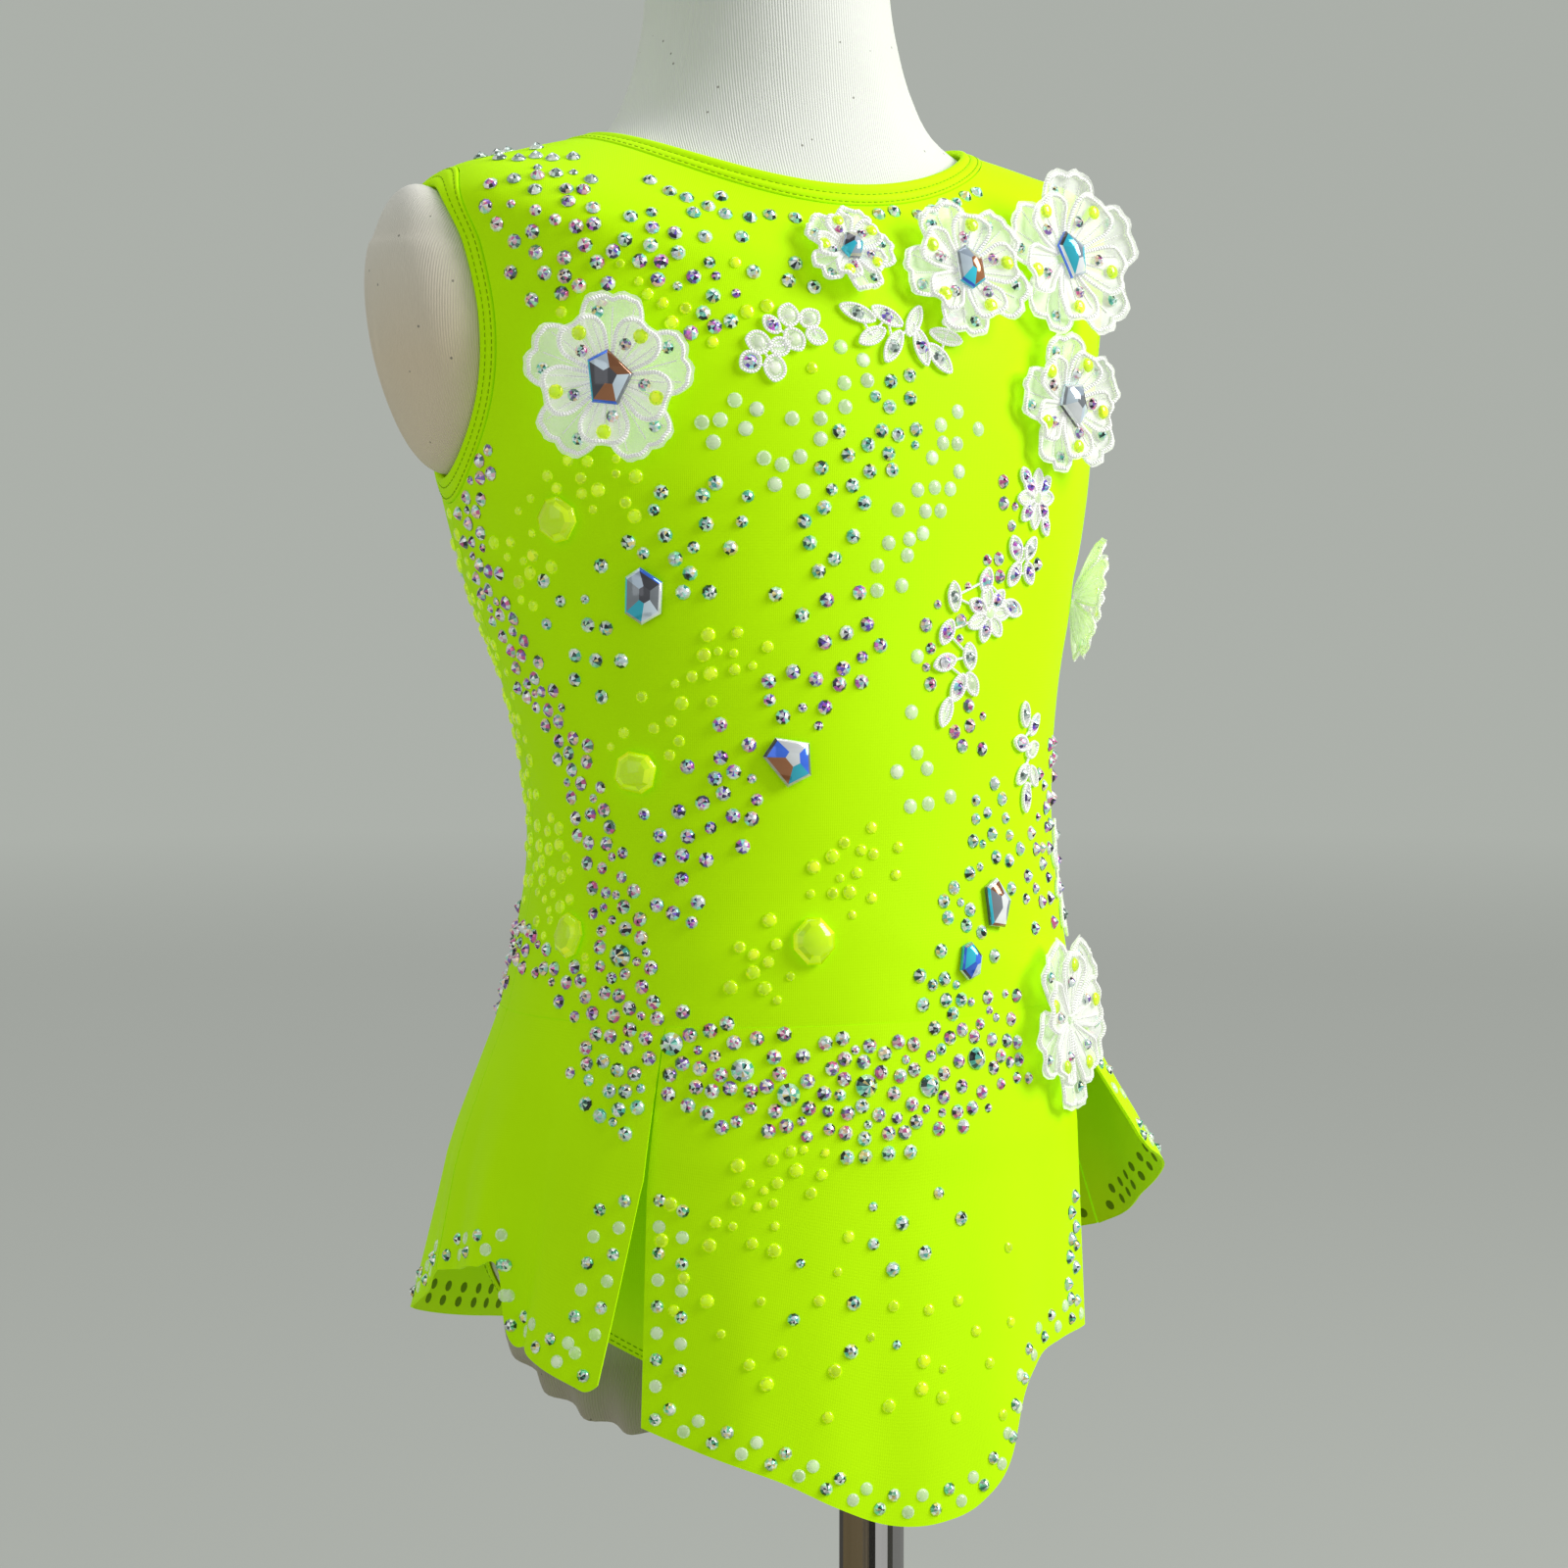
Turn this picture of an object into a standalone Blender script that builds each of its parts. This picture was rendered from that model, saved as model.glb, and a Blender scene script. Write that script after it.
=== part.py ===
"""A child's rhythmic gymnastics leotard with a petal skirt, on a limbless dress form with its stand.

Metres. The origin is the centre of the base's underside, +Z is up and the front faces -Y.
The cloth pieces are thin walls. They follow one surface, which the form lies just inside of, and the skirt's
petals hang from it. An angle is measured round the form from the front, towards the wearer's left (+X).
A level is a height on the wearer's side seam; above the armholes it runs over the shoulders to the neck.
"""

import bmesh
import bpy
import numpy as np
from mathutils import Matrix

# Stand
BASE_RADIUS = 0.178
BASE_THICKNESS = 0.006
BASE_BEVEL = 0.0015
HUB_RADIUS = 0.028
HUB_HEIGHT = 0.020
POLE_RADIUS = 0.011
POLE_TOP = 0.225
FLANGE_RADIUS = 0.013
FLANGE_HEIGHT = 0.007
BOSS_RADIUS = 0.0125
BOSS_TOP = 0.265
STAND_BEVEL = 0.0008
ROUND_SIDES = 48
POLE_SIDES = 32
BOSS_SIDES = 24

# Cloth and the clearances between pieces
SEAM_GAP = 0.0003
CLOTH_WALL = 0.0012
FORM_CLEARANCE = 0.0015
BINDING_RAISE = 0.0006
SKIRT_LAY = 0.0009

# The form's neck axis, beside the pole, which enters the left leg's cut
AXIS_X = -0.042
AXIS_Y = -0.004

# The cloth's outer surface: one row for each level, with heights and half sizes from the neck axis
BODY_COLUMNS = ("level", "side_z", "front_z", "back_z", "half_width", "fore", "aft")
BODY_RINGS = np.array(
    [
        (0.2400, 0.2400, 0.2400, 0.2400, 0.004, 0.004, 0.004),
        (0.2410, 0.2410, 0.2410, 0.2410, 0.017, 0.019, 0.017),
        (0.2440, 0.2440, 0.2440, 0.2440, 0.034, 0.042, 0.036),
        (0.2510, 0.2510, 0.2510, 0.2510, 0.049, 0.060, 0.050),
        (0.2610, 0.2610, 0.2610, 0.2610, 0.067, 0.073, 0.061),
        (0.2720, 0.2720, 0.2720, 0.2720, 0.083, 0.081, 0.068),
        (0.2830, 0.2830, 0.2830, 0.2830, 0.094, 0.086, 0.072),
        (0.2950, 0.2950, 0.2950, 0.2950, 0.101, 0.089, 0.074),
        (0.3100, 0.3100, 0.3100, 0.3100, 0.103, 0.091, 0.074),
        (0.3300, 0.3300, 0.3300, 0.3300, 0.102, 0.092, 0.072),
        (0.3710, 0.3710, 0.3710, 0.3710, 0.099, 0.093, 0.063),
        (0.3960, 0.3960, 0.3960, 0.3960, 0.094, 0.092, 0.058),
        (0.4290, 0.4290, 0.4290, 0.4290, 0.089, 0.089, 0.054),
        (0.4800, 0.4800, 0.4800, 0.4800, 0.094, 0.086, 0.062),
        (0.5130, 0.5130, 0.5130, 0.5130, 0.104, 0.084, 0.073),
        (0.5480, 0.5480, 0.5480, 0.5480, 0.112, 0.083, 0.080),
        (0.5750, 0.5740, 0.5700, 0.5710, 0.115, 0.081, 0.081),
        (0.6000, 0.5985, 0.5890, 0.5920, 0.118, 0.078, 0.079),
        (0.6220, 0.6210, 0.6040, 0.6110, 0.120, 0.074, 0.074),
        (0.6400, 0.6385, 0.6150, 0.6230, 0.119, 0.070, 0.068),
        (0.6500, 0.6455, 0.6200, 0.6290, 0.109, 0.067, 0.064),
        (0.6600, 0.6495, 0.6250, 0.6350, 0.094, 0.064, 0.060),
        (0.6680, 0.6525, 0.6290, 0.6395, 0.082, 0.061, 0.056),
        (0.6760, 0.6548, 0.6327, 0.6430, 0.0715, 0.0588, 0.0515),
        (0.6840, 0.6565, 0.6395, 0.6500, 0.064, 0.0562, 0.0485),
        (0.6900, 0.6620, 0.6500, 0.6580, 0.0565, 0.0515, 0.046),
        (0.7000, 0.6740, 0.6670, 0.6720, 0.0495, 0.047, 0.044),
        (0.7120, 0.6900, 0.6880, 0.6890, 0.0445, 0.044, 0.0425),
        (0.7260, 0.7060, 0.7060, 0.7060, 0.0422, 0.0422, 0.0422),
        (0.7450, 0.7280, 0.7280, 0.7280, 0.0415, 0.0415, 0.0415),
    ]
)
NECK_SEAM = 0.676
NECK_EDGE = 0.684
GUSSET_LEVEL = 0.2425
# The underside is nearly flat, so this small step of level leaves the seam's gap there
GUSSET_GAP_LEVEL = 0.00007
LEG_TOP = 0.306
TORSO_LEVELS = np.linspace(LEG_TOP, 0.520, 12)
SHOULDER_LEVELS = (0.645, 0.655, 0.664)
PANEL_TOP_LEVELS = (0.656, 0.666)
GUSSET_LEVELS = (0.2402, 0.2412)
FORM_FOOT = 0.2407
ARMHOLE_STEPS = 13

# Side seams and armholes, as angles in degrees and levels
SIDE_SEAM = 97.0
SHOULDER_SEAM = 90.0
ARMHOLE_LEVEL = 0.594
ARMHOLE_HALF_HEIGHT = 0.046
ARMHOLE_FRONT = 21.0
ARMHOLE_BACK = 17.0
ARMHOLE_BAND = 0.008
ARMHOLE_BAND_ANGLE = 3.8
ARMHOLE_GAP_ANGLE = 0.3

# Small steps of angle and level that give the surface's directions
TURN_STEP = 1e-4
CLIMB_STEP = 1e-5
# Radii that turn a seam's gap into an angle: a share of the half width, and the hips' own
SEAM_RADIUS_SHARE = 0.75
HIP_RADIUS = 0.083

# Shoulder caps of the form
CAP_CENTRE = (0.100, 0.001, 0.594)
CAP_HALF = (0.035, 0.0210, 0.0410)
CAP_SQUARENESS = 2.5

# The leg opening's edge: level, angle from the front, angle from the back
LEG_LINE = np.array(
    [
        (0.2425, 58.0, 58.0),
        (0.2440, 44.0, 46.0),
        (0.2470, 38.0, 44.0),
        (0.2510, 38.0, 46.0),
        (0.2560, 43.0, 54.0),
        (0.2610, 48.0, 61.0),
        (0.2670, 54.0, 67.0),
        (0.2740, 60.0, 72.0),
        (0.2830, 69.0, 77.0),
        (0.2920, 79.0, 80.0),
        (0.3010, 90.0, 82.0),
        (0.3060, 97.0, 83.0),
    ]
)


def smooth(at, known, values):
    """A cubic curve through the known values; at each of them its slope is the mean of its neighbours'."""
    slope = np.gradient(values, known)
    index = np.clip(np.searchsorted(known, at) - 1, 0, len(known) - 2)
    step = known[index + 1] - known[index]
    u = (at - known[index]) / step
    rise = (2 * u**3 - 3 * u**2 + 1) * values[index] + (3 * u**2 - 2 * u**3) * values[index + 1]
    bend = (u**3 - 2 * u**2 + u) * slope[index] + (u**3 - u**2) * slope[index + 1]
    return rise + bend * step


def ring(level):
    """The row of BODY_RINGS at a level, by column name."""
    return {
        name: smooth(level, BODY_RINGS[:, 0], BODY_RINGS[:, column])
        for column, name in enumerate(BODY_COLUMNS)
    }


def skin(angle, level):
    """Points of the cloth's outer surface: an ellipse at each level, higher at its sides than its ends."""
    row = ring(level)
    across = row["half_width"] * np.sin(angle)
    centre = (row["aft"] - row["fore"]) / 2
    along = centre - (row["fore"] + row["aft"]) / 2 * np.cos(angle)
    sideways = np.sin(angle) ** 2
    end_z = np.where(np.cos(angle) > 0, row["front_z"], row["back_z"])
    height = row["side_z"] * sideways + end_z * (1 - sideways)
    return np.stack([AXIS_X + across, AXIS_Y + along, height], axis=-1)


def on_body(angle, level, out):
    """Points of the surface moved out along its normal, which comes from the steps to the next points."""
    angle, level, out = np.broadcast_arrays(angle, level, out)
    round_way = skin(angle + TURN_STEP, level) - skin(angle - TURN_STEP, level)
    up_way = skin(angle, level + CLIMB_STEP) - skin(angle, level - CLIMB_STEP)
    normal = np.cross(round_way, up_way)
    normal /= np.linalg.norm(normal, axis=-1, keepdims=True)
    return skin(angle, level) + normal * out[..., None]


def clear_scene():
    """Removes whatever the scene holds."""
    for thing in list(bpy.data.objects):
        bpy.data.objects.remove(thing, do_unlink=True)


def material(name, colour, roughness, metallic=0.0):
    """A Principled material with a base colour, a roughness and a metallic value."""
    made = bpy.data.materials.new(name)
    made.use_nodes = True
    shader = made.node_tree.nodes["Principled BSDF"]
    shader.inputs["Base Color"].default_value = (*colour, 1.0)
    shader.inputs["Roughness"].default_value = roughness
    shader.inputs["Metallic"].default_value = metallic
    made.diffuse_color = (*colour, 1.0)
    return made


def add_object(name, vertices, faces, finish, sharp_angle=40.0):
    """A mesh object of one sub-part, shaded smooth except at its sharp edges."""
    mesh = bpy.data.meshes.new(name)
    mesh.from_pydata([tuple(v) for v in vertices], [], [tuple(int(i) for i in f) for f in faces])
    mesh.validate()
    mesh.materials.append(finish)
    mesh.shade_smooth()
    mesh.set_sharp_from_angle(angle=np.radians(sharp_angle))
    thing = bpy.data.objects.new(name, mesh)
    bpy.context.scene.collection.objects.link(thing)
    return thing


def grid_faces(rows, columns, start, flip, closed):
    """Quads of a grid of points, closed round its columns or open."""
    row = np.arange(rows - 1)[:, None]
    column = np.arange(columns if closed else columns - 1)[None, :]
    following = (column + 1) % columns
    a = start + row * columns + column
    b = start + row * columns + following
    c = b + columns
    d = a + columns
    order = (a, d, c, b) if flip else (a, b, c, d)
    return np.stack([np.broadcast_to(x, a.shape) for x in order], axis=-1).reshape(-1, 4)


def strip_faces(first, second, closed):
    """Quads between two rows of point numbers."""
    if closed:
        first, second = np.append(first, first[0]), np.append(second, second[0])
    return np.stack([first[:-1], second[:-1], second[1:], first[1:]], axis=-1)


def wall(name, outer, inner, finish, closed=False):
    """A wall between an outer and an inner grid: rows run upwards, columns towards the wearer's left."""
    rows, columns = outer.shape[:2]
    count = rows * columns
    vertices = np.concatenate([outer.reshape(-1, 3), inner.reshape(-1, 3)])
    number = np.arange(count).reshape(rows, columns)
    faces = [
        grid_faces(rows, columns, 0, False, closed),
        grid_faces(rows, columns, count, True, closed),
        strip_faces(number[0], number[0] + count, closed),
        strip_faces(number[-1] + count, number[-1], closed),
    ]
    if not closed:
        faces.append(strip_faces(number[:, 0] + count, number[:, 0], False))
        faces.append(strip_faces(number[:, -1], number[:, -1] + count, False))
    return add_object(name, vertices, np.concatenate(faces), finish)


def blob(name, rings, low_end, high_end, finish, sharp_angle=40.0):
    """A closed body through rings of points from bottom to top, with a point at each end."""
    rows, columns = rings.shape[:2]
    vertices = np.concatenate([rings.reshape(-1, 3), [low_end, high_end]])
    number = np.arange(rows * columns).reshape(rows, columns)
    sides = [tuple(f) for f in grid_faces(rows, columns, 0, False, True)]
    low, high = rows * columns, rows * columns + 1
    around = np.roll(number, -1, axis=1)
    sides += [(low, b, a) for a, b in zip(number[0], around[0])]
    sides += [(a, b, high) for a, b in zip(number[-1], around[-1])]
    return add_object(name, vertices, sides, finish, sharp_angle)


def cylinder(name, radius, foot, height, finish, sides=ROUND_SIDES, bevel=STAND_BEVEL):
    """An upright round piece on the pole's line, standing at its foot's height, with bevelled rims."""
    mesh = bpy.data.meshes.new(name)
    form = bmesh.new()
    bmesh.ops.create_cone(
        form, cap_ends=True, segments=sides, radius1=radius, radius2=radius, depth=height
    )
    rims = [edge for edge in form.edges if abs(edge.verts[0].co.z - edge.verts[1].co.z) < height / 2]
    if bevel > 0:
        bmesh.ops.bevel(form, geom=rims, offset=bevel, segments=1, affect="EDGES")
    form.to_mesh(mesh)
    form.free()
    mesh.materials.append(finish)
    mesh.shade_smooth()
    mesh.set_sharp_from_angle(angle=np.radians(30.0))
    thing = bpy.data.objects.new(name, mesh)
    thing.location = (0.0, 0.0, foot + height / 2)
    bpy.context.scene.collection.objects.link(thing)
    return thing


def armhole_share(level, half_height):
    """0 outside the armhole's levels and rising to 1 half-way up them, along a quarter ellipse."""
    reach = np.clip(1 - ((level - ARMHOLE_LEVEL) / half_height) ** 2, 0, None)
    return np.sqrt(reach)


def seam_angle(level):
    """The line from the side seam, up through the armhole, to the shoulder seam, in degrees."""
    low, high = ARMHOLE_LEVEL - ARMHOLE_HALF_HEIGHT, ARMHOLE_LEVEL + ARMHOLE_HALF_HEIGHT
    share = np.clip((level - low) / (high - low), 0, 1)
    return SIDE_SEAM + (SHOULDER_SEAM - SIDE_SEAM) * share


def seam_half_gap(level):
    """Half the seam's gap as an angle in degrees."""
    return np.degrees(SEAM_GAP / 2 / (ring(level)["half_width"] * SEAM_RADIUS_SHARE))


def front_edge(level):
    """The angle of the front panel's edge at a level: leg line, side seam, armhole, shoulder seam."""
    hole = armhole_share(level, ARMHOLE_HALF_HEIGHT + ARMHOLE_BAND + SEAM_GAP)
    edge = seam_angle(level) - hole * (ARMHOLE_FRONT + ARMHOLE_BAND_ANGLE + ARMHOLE_GAP_ANGLE)
    leg = np.interp(level, LEG_LINE[:, 0], LEG_LINE[:, 1])
    return np.where(level < LEG_TOP, leg, edge) - seam_half_gap(level)


def back_edge(level):
    """The same for the back panel, measured from the back."""
    hole = armhole_share(level, ARMHOLE_HALF_HEIGHT + ARMHOLE_BAND + SEAM_GAP)
    edge = 180 - seam_angle(level) - hole * (ARMHOLE_BACK + ARMHOLE_BAND_ANGLE + ARMHOLE_GAP_ANGLE)
    leg = np.interp(level, LEG_LINE[:, 0], LEG_LINE[:, 2])
    return np.where(level < LEG_TOP, leg, edge) - seam_half_gap(level)


def panel_levels():
    """Rows of the front and back panels, closer together at the crotch and round the armholes."""
    band = ARMHOLE_HALF_HEIGHT + ARMHOLE_BAND + SEAM_GAP
    legs = LEG_LINE[1:-1, 0]
    sleeves = ARMHOLE_LEVEL - band * np.cos(np.linspace(0, np.pi, ARMHOLE_STEPS))
    ends = [GUSSET_LEVEL + GUSSET_GAP_LEVEL], [NECK_SEAM - SEAM_GAP]
    return np.concatenate([ends[0], legs, TORSO_LEVELS, sleeves, PANEL_TOP_LEVELS, ends[1]])


def panel(name, edge, middle, columns, finish):
    """A leotard panel: each row runs from edge to edge about the middle angle, front 0 or back 180."""
    levels = panel_levels()[:, None]
    share = np.linspace(-1, 1, columns)[None, :]
    angle = np.radians(middle + share * edge(levels))
    outer = on_body(angle, levels, 0.0)
    inner = on_body(angle, levels, -CLOTH_WALL)
    return wall(name, outer, inner, finish)


def neck_binding(finish, columns=32):
    """The turned band round the neck opening, a little thicker than the panels."""
    levels = np.array([NECK_SEAM, NECK_EDGE])[:, None]
    angle = np.linspace(0, 2 * np.pi, columns, endpoint=False)[None, :]
    outer = on_body(angle, levels, BINDING_RAISE)
    inner = on_body(angle, levels, -CLOTH_WALL)
    return wall("neck_binding", outer, inner, finish, closed=True)


def armhole_loop(side, widen, turn):
    """Angles and levels round an armhole, widened by a share of the band; side is -1 right, 1 left."""
    level = ARMHOLE_LEVEL - (ARMHOLE_HALF_HEIGHT + widen * ARMHOLE_BAND) * np.cos(turn)
    reach = np.where(np.sin(turn) > 0, ARMHOLE_FRONT, ARMHOLE_BACK) + widen * ARMHOLE_BAND_ANGLE
    angle = seam_angle(level) - reach * np.sin(turn)
    return np.radians(side * angle), level


def armhole_binding(name, side, finish, columns=2 * ARMHOLE_STEPS - 2):
    """The turned band round an armhole."""
    turn = np.linspace(0, 2 * np.pi, columns, endpoint=False)
    loops = [armhole_loop(side, widen, turn) for widen in (0.0, 0.5, 1.0)]
    if side < 0:
        loops = loops[::-1]
    angle = np.stack([loop[0] for loop in loops])
    level = np.stack([loop[1] for loop in loops])
    outer = on_body(angle, level, BINDING_RAISE)
    inner = on_body(angle, level, -CLOTH_WALL)
    return wall(name, outer, inner, finish, closed=True)


def gusset(finish, columns=18):
    """The oval piece under the crotch, a shallow dish of cloth."""
    levels = np.array([*GUSSET_LEVELS, GUSSET_LEVEL])[:, None]
    angle = np.linspace(0, 2 * np.pi, columns, endpoint=False)[None, :]
    outer = on_body(angle, levels, 0.0)
    inner = on_body(angle, levels, -CLOTH_WALL)
    rings = np.concatenate([outer, inner[::-1]])
    middle = np.array([AXIS_X, AXIS_Y, BODY_RINGS[0, 0]])
    return blob("crotch_gusset", rings, middle, middle + (0, 0, CLOTH_WALL), finish)


def form_body(finish, columns=32):
    """The dress form: neck, torso, shoulder caps and the boss that takes the pole, joined into one body."""
    under = -(CLOTH_WALL + FORM_CLEARANCE)
    shoulders = BODY_RINGS[BODY_RINGS[:, 0] > TORSO_LEVELS[-1], 0]
    levels = [[FORM_FOOT], LEG_LINE[:-1, 0], TORSO_LEVELS, shoulders, SHOULDER_LEVELS]
    levels = np.sort(np.concatenate(levels))[:, None]
    angle = np.linspace(0, 2 * np.pi, columns, endpoint=False)[None, :]
    rings = on_body(angle, levels, under)
    low_end = rings[0].mean(axis=0)
    high_end = rings[-1].mean(axis=0)
    body = blob("form_body", rings, low_end, high_end, finish)
    for side in (-1, 1):
        join(body, shoulder_cap(side, finish))
    foot = boss_foot()
    join(body, cylinder("boss", BOSS_RADIUS, foot, BOSS_TOP - foot, finish, BOSS_SIDES, 0.0))
    return body


def boss_foot():
    """Height of the boss's flat underside, on top of the flange."""
    return POLE_TOP + SEAM_GAP + FLANGE_HEIGHT + SEAM_GAP


def shoulder_cap(side, finish, rows=12, columns=20):
    """A squarish rounded cap that closes the form's shoulder."""
    tilt = np.linspace(-np.pi / 2, np.pi / 2, rows + 2)[1:-1, None]
    turn = np.linspace(0, 2 * np.pi, columns, endpoint=False)[None, :]
    power = 2 / CAP_SQUARENESS

    def squared(value):
        return np.sign(value) * np.abs(value) ** power

    across = CAP_HALF[0] * squared(np.cos(tilt)) * np.cos(turn)
    along = CAP_HALF[1] * squared(np.cos(tilt)) * np.sin(turn)
    height = CAP_HALF[2] * squared(np.sin(tilt)) + 0 * turn
    centre = np.array([AXIS_X + side * CAP_CENTRE[0], AXIS_Y + CAP_CENTRE[1], CAP_CENTRE[2]])
    rings = centre + np.stack([across, along, height], axis=-1)
    foot = centre - (0, 0, CAP_HALF[2])
    crown = centre + (0, 0, CAP_HALF[2])
    return blob("cap", rings, foot, crown, finish)


def join(body, other):
    """Unites another body with this one, and removes it."""
    union = body.modifiers.new("union", "BOOLEAN")
    union.operation = "UNION"
    union.solver = "EXACT"
    union.object = other
    graph = bpy.context.evaluated_depsgraph_get()
    joined = bpy.data.meshes.new_from_object(body.evaluated_get(graph))
    body.modifiers.remove(union)
    body.data = joined
    bpy.data.objects.remove(other, do_unlink=True)


# The skirt: its top lies on the leotard, and each petal has rows of angle, hem height and flare
SKIRT_TOP = 0.380
HIP_LEVEL = 0.330
SLIT_RIGHT_TOP = 0.0465
SLIT_LEFT_TOP = 0.0
SLIT_SPREAD = 92.0
PETALS = {
    "skirt_front": (
        (-47.0, 0.258, 0.070),
        (-38.0, 0.252, 0.075),
        (-23.0, 0.2415, 0.085),
        (-15.0, 0.2335, 0.090),
        (-7.0, 0.227, 0.090),
        (2.0, 0.226, 0.090),
        (9.6, 0.2305, 0.085),
        (16.5, 0.2435, 0.080),
        (20.0, 0.2577, 0.075),
        (26.0, 0.268, 0.065),
        (35.0, 0.2725, 0.050),
        (48.0, 0.273, 0.040),
    ),
    "skirt_right": (
        (-97.0, 0.297, 0.180),
        (-86.0, 0.300, 0.170),
        (-76.0, 0.305, 0.140),
        (-69.5, 0.301, 0.130),
        (-67.0, 0.284, 0.130),
        (-59.5, 0.278, 0.140),
        (-54.5, 0.274, 0.145),
        (-47.0, 0.268, 0.150),
    ),
    "skirt_left": (
        (48.0, 0.331, 0.450),
        (56.0, 0.325, 0.450),
        (66.0, 0.316, 0.420),
        (76.0, 0.306, 0.380),
        (86.0, 0.298, 0.350),
        (97.0, 0.290, 0.330),
    ),
    "skirt_back": (
        (97.0, 0.290, 0.330),
        (112.0, 0.282, 0.260),
        (130.0, 0.272, 0.210),
        (150.0, 0.262, 0.190),
        (165.0, 0.256, 0.160),
        (180.0, 0.254, 0.180),
        (195.0, 0.256, 0.160),
        (210.0, 0.262, 0.190),
        (232.0, 0.272, 0.190),
        (250.0, 0.284, 0.185),
        (263.0, 0.297, 0.180),
    ),
}


def skirt_surface(angle, drop, flare, out):
    """Points of the skirt: the hips' ellipse, widened by the flare for each metre below the seam."""
    height = SKIRT_TOP - drop
    row = ring(np.maximum(height, HIP_LEVEL))
    widen = out + flare * drop
    centre = (row["aft"] - row["fore"]) / 2
    across = (row["half_width"] + widen) * np.sin(angle)
    along = centre - ((row["fore"] + row["aft"]) / 2 + widen) * np.cos(angle)
    return np.stack([AXIS_X + across, AXIS_Y + along, height], axis=-1)


def petal(name, table, columns, rows, finish, open_edges=(None, None)):
    """A skirt petal; an open edge swings away from its slit below the slit's top."""
    table = np.array(table)
    share = np.linspace(0, 1, columns)[None, :]
    at_hem = table[0, 0] + (table[-1, 0] - table[0, 0]) * share
    full_drop = SKIRT_TOP - smooth(at_hem, table[:, 0], table[:, 1])
    flare = smooth(at_hem, table[:, 0], table[:, 2])
    drop = np.linspace(0, 1, rows)[:, None] * full_drop
    edges = []
    for end, slit_top in zip((0, -1), open_edges):
        inward = 1 if end == 0 else -1
        gap = inward * np.degrees(SEAM_GAP / 2 / HIP_RADIUS)
        spread = 0.0 if slit_top is None else inward * SLIT_SPREAD * np.clip(drop - slit_top, 0, None)
        edges.append(table[end, 0] + gap + spread)
    angle = np.radians(edges[0] * (1 - share) + edges[1] * share)
    outer = skirt_surface(angle, drop, flare, SKIRT_LAY + CLOTH_WALL)[::-1]
    inner = skirt_surface(angle, drop, flare, SKIRT_LAY)[::-1]
    return wall(name, outer, inner, finish)


# Flowers: angle, level, radius, lift of the rim, turn of the petals, height of the seat
FLOWERS = {
    "flower_right_chest": (-45.9, 0.5810, 0.0260, 0.0040, 0.3, 0.0004),
    "flower_neck_middle": (-3.0, 0.6450, 0.0140, 0.0030, 0.0, 0.0005),
    "flower_neck_left": (15.2, 0.6320, 0.0210, 0.0040, 0.6, 0.0005),
    "flower_left_shoulder": (42.5, 0.6320, 0.0260, 0.0070, 0.1, 0.0004),
    "flower_left_chest": (45.0, 0.5750, 0.0215, 0.0050, 0.4, 0.0009),
    "flower_left_side": (74.0, 0.5130, 0.0215, 0.0070, 0.2, 0.0004),
    "flower_left_hip": (41.0, 0.3760, 0.0250, 0.0060, 0.9, 0.0045),
}
LAYER_RAISE = 0.0022
INNER_LAYER = 0.60
LAYER_STEP = 0.03
PETAL_COUNT = 5
SCALLOP = 0.20
LOBE_ROUNDNESS = 0.7
CUP_POWER = 2.5
FLOWER_WALL = 0.0012
ON_CLOTH = 0.0004


def patch(angle, level, across, up, out):
    """Points near a place on the body, from distances across and up its surface."""
    middle = np.radians(angle)
    sideways = skin(middle + TURN_STEP, level) - skin(middle - TURN_STEP, level)
    upwards = skin(middle, level + CLIMB_STEP) - skin(middle, level - CLIMB_STEP)
    round_way = np.linalg.norm(sideways) / (2 * TURN_STEP)
    up_way = np.linalg.norm(upwards) / (2 * CLIMB_STEP)
    return on_body(middle + across / round_way, level + up / up_way, out)


def seat(angle, level, out):
    """The matrix of a seat on the body, moved out: its X runs sideways, its Y up and its Z outwards."""
    middle = patch(angle, level, 0.0, 0.0, out)
    side_way = patch(angle, level, 0.001, 0.0, out) - middle
    up_way = patch(angle, level, 0.0, 0.001, out) - middle
    side_way /= np.linalg.norm(side_way)
    out_way = np.cross(side_way, up_way)
    out_way /= np.linalg.norm(out_way)
    columns = [side_way, np.cross(out_way, side_way), out_way, middle]
    return Matrix(np.vstack([np.stack(columns, axis=1), (0, 0, 0, 1)]).tolist())


def points_at(across, up, height):
    """Points from distances sideways, up and outwards."""
    return np.stack(np.broadcast_arrays(across, up, height), axis=-1)


def flower(name, row, finish, points=25):
    """A cupped flower of two scalloped layers, sewn on at its middle; its rim stands off the cloth."""
    angle, level, radius, lift, turned_by, seat_height = row
    turn = np.linspace(0, 2 * np.pi, points, endpoint=False)[None, :]
    share = np.array([INNER_LAYER - LAYER_STEP, INNER_LAYER + LAYER_STEP, 1.0])[:, None]
    lobe = np.abs(np.cos((turn - turned_by) * PETAL_COUNT / 2)) ** LOBE_ROUNDNESS
    reach = radius * share * (1 - SCALLOP * (1 - lobe) * share)
    across, up = reach * np.cos(turn), reach * np.sin(turn)
    cup = lift * share**CUP_POWER
    raised = np.where(share < INNER_LAYER, LAYER_RAISE, 0.0)
    top = points_at(across, up, cup + FLOWER_WALL + raised)
    under = points_at(across, up, cup)
    rings = np.concatenate([under, top[::-1]])
    made = blob(name, rings, (0, 0, 0), (0, 0, FLOWER_WALL + LAYER_RAISE), finish)
    made.matrix_world = seat(angle, level, seat_height)
    return made


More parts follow.
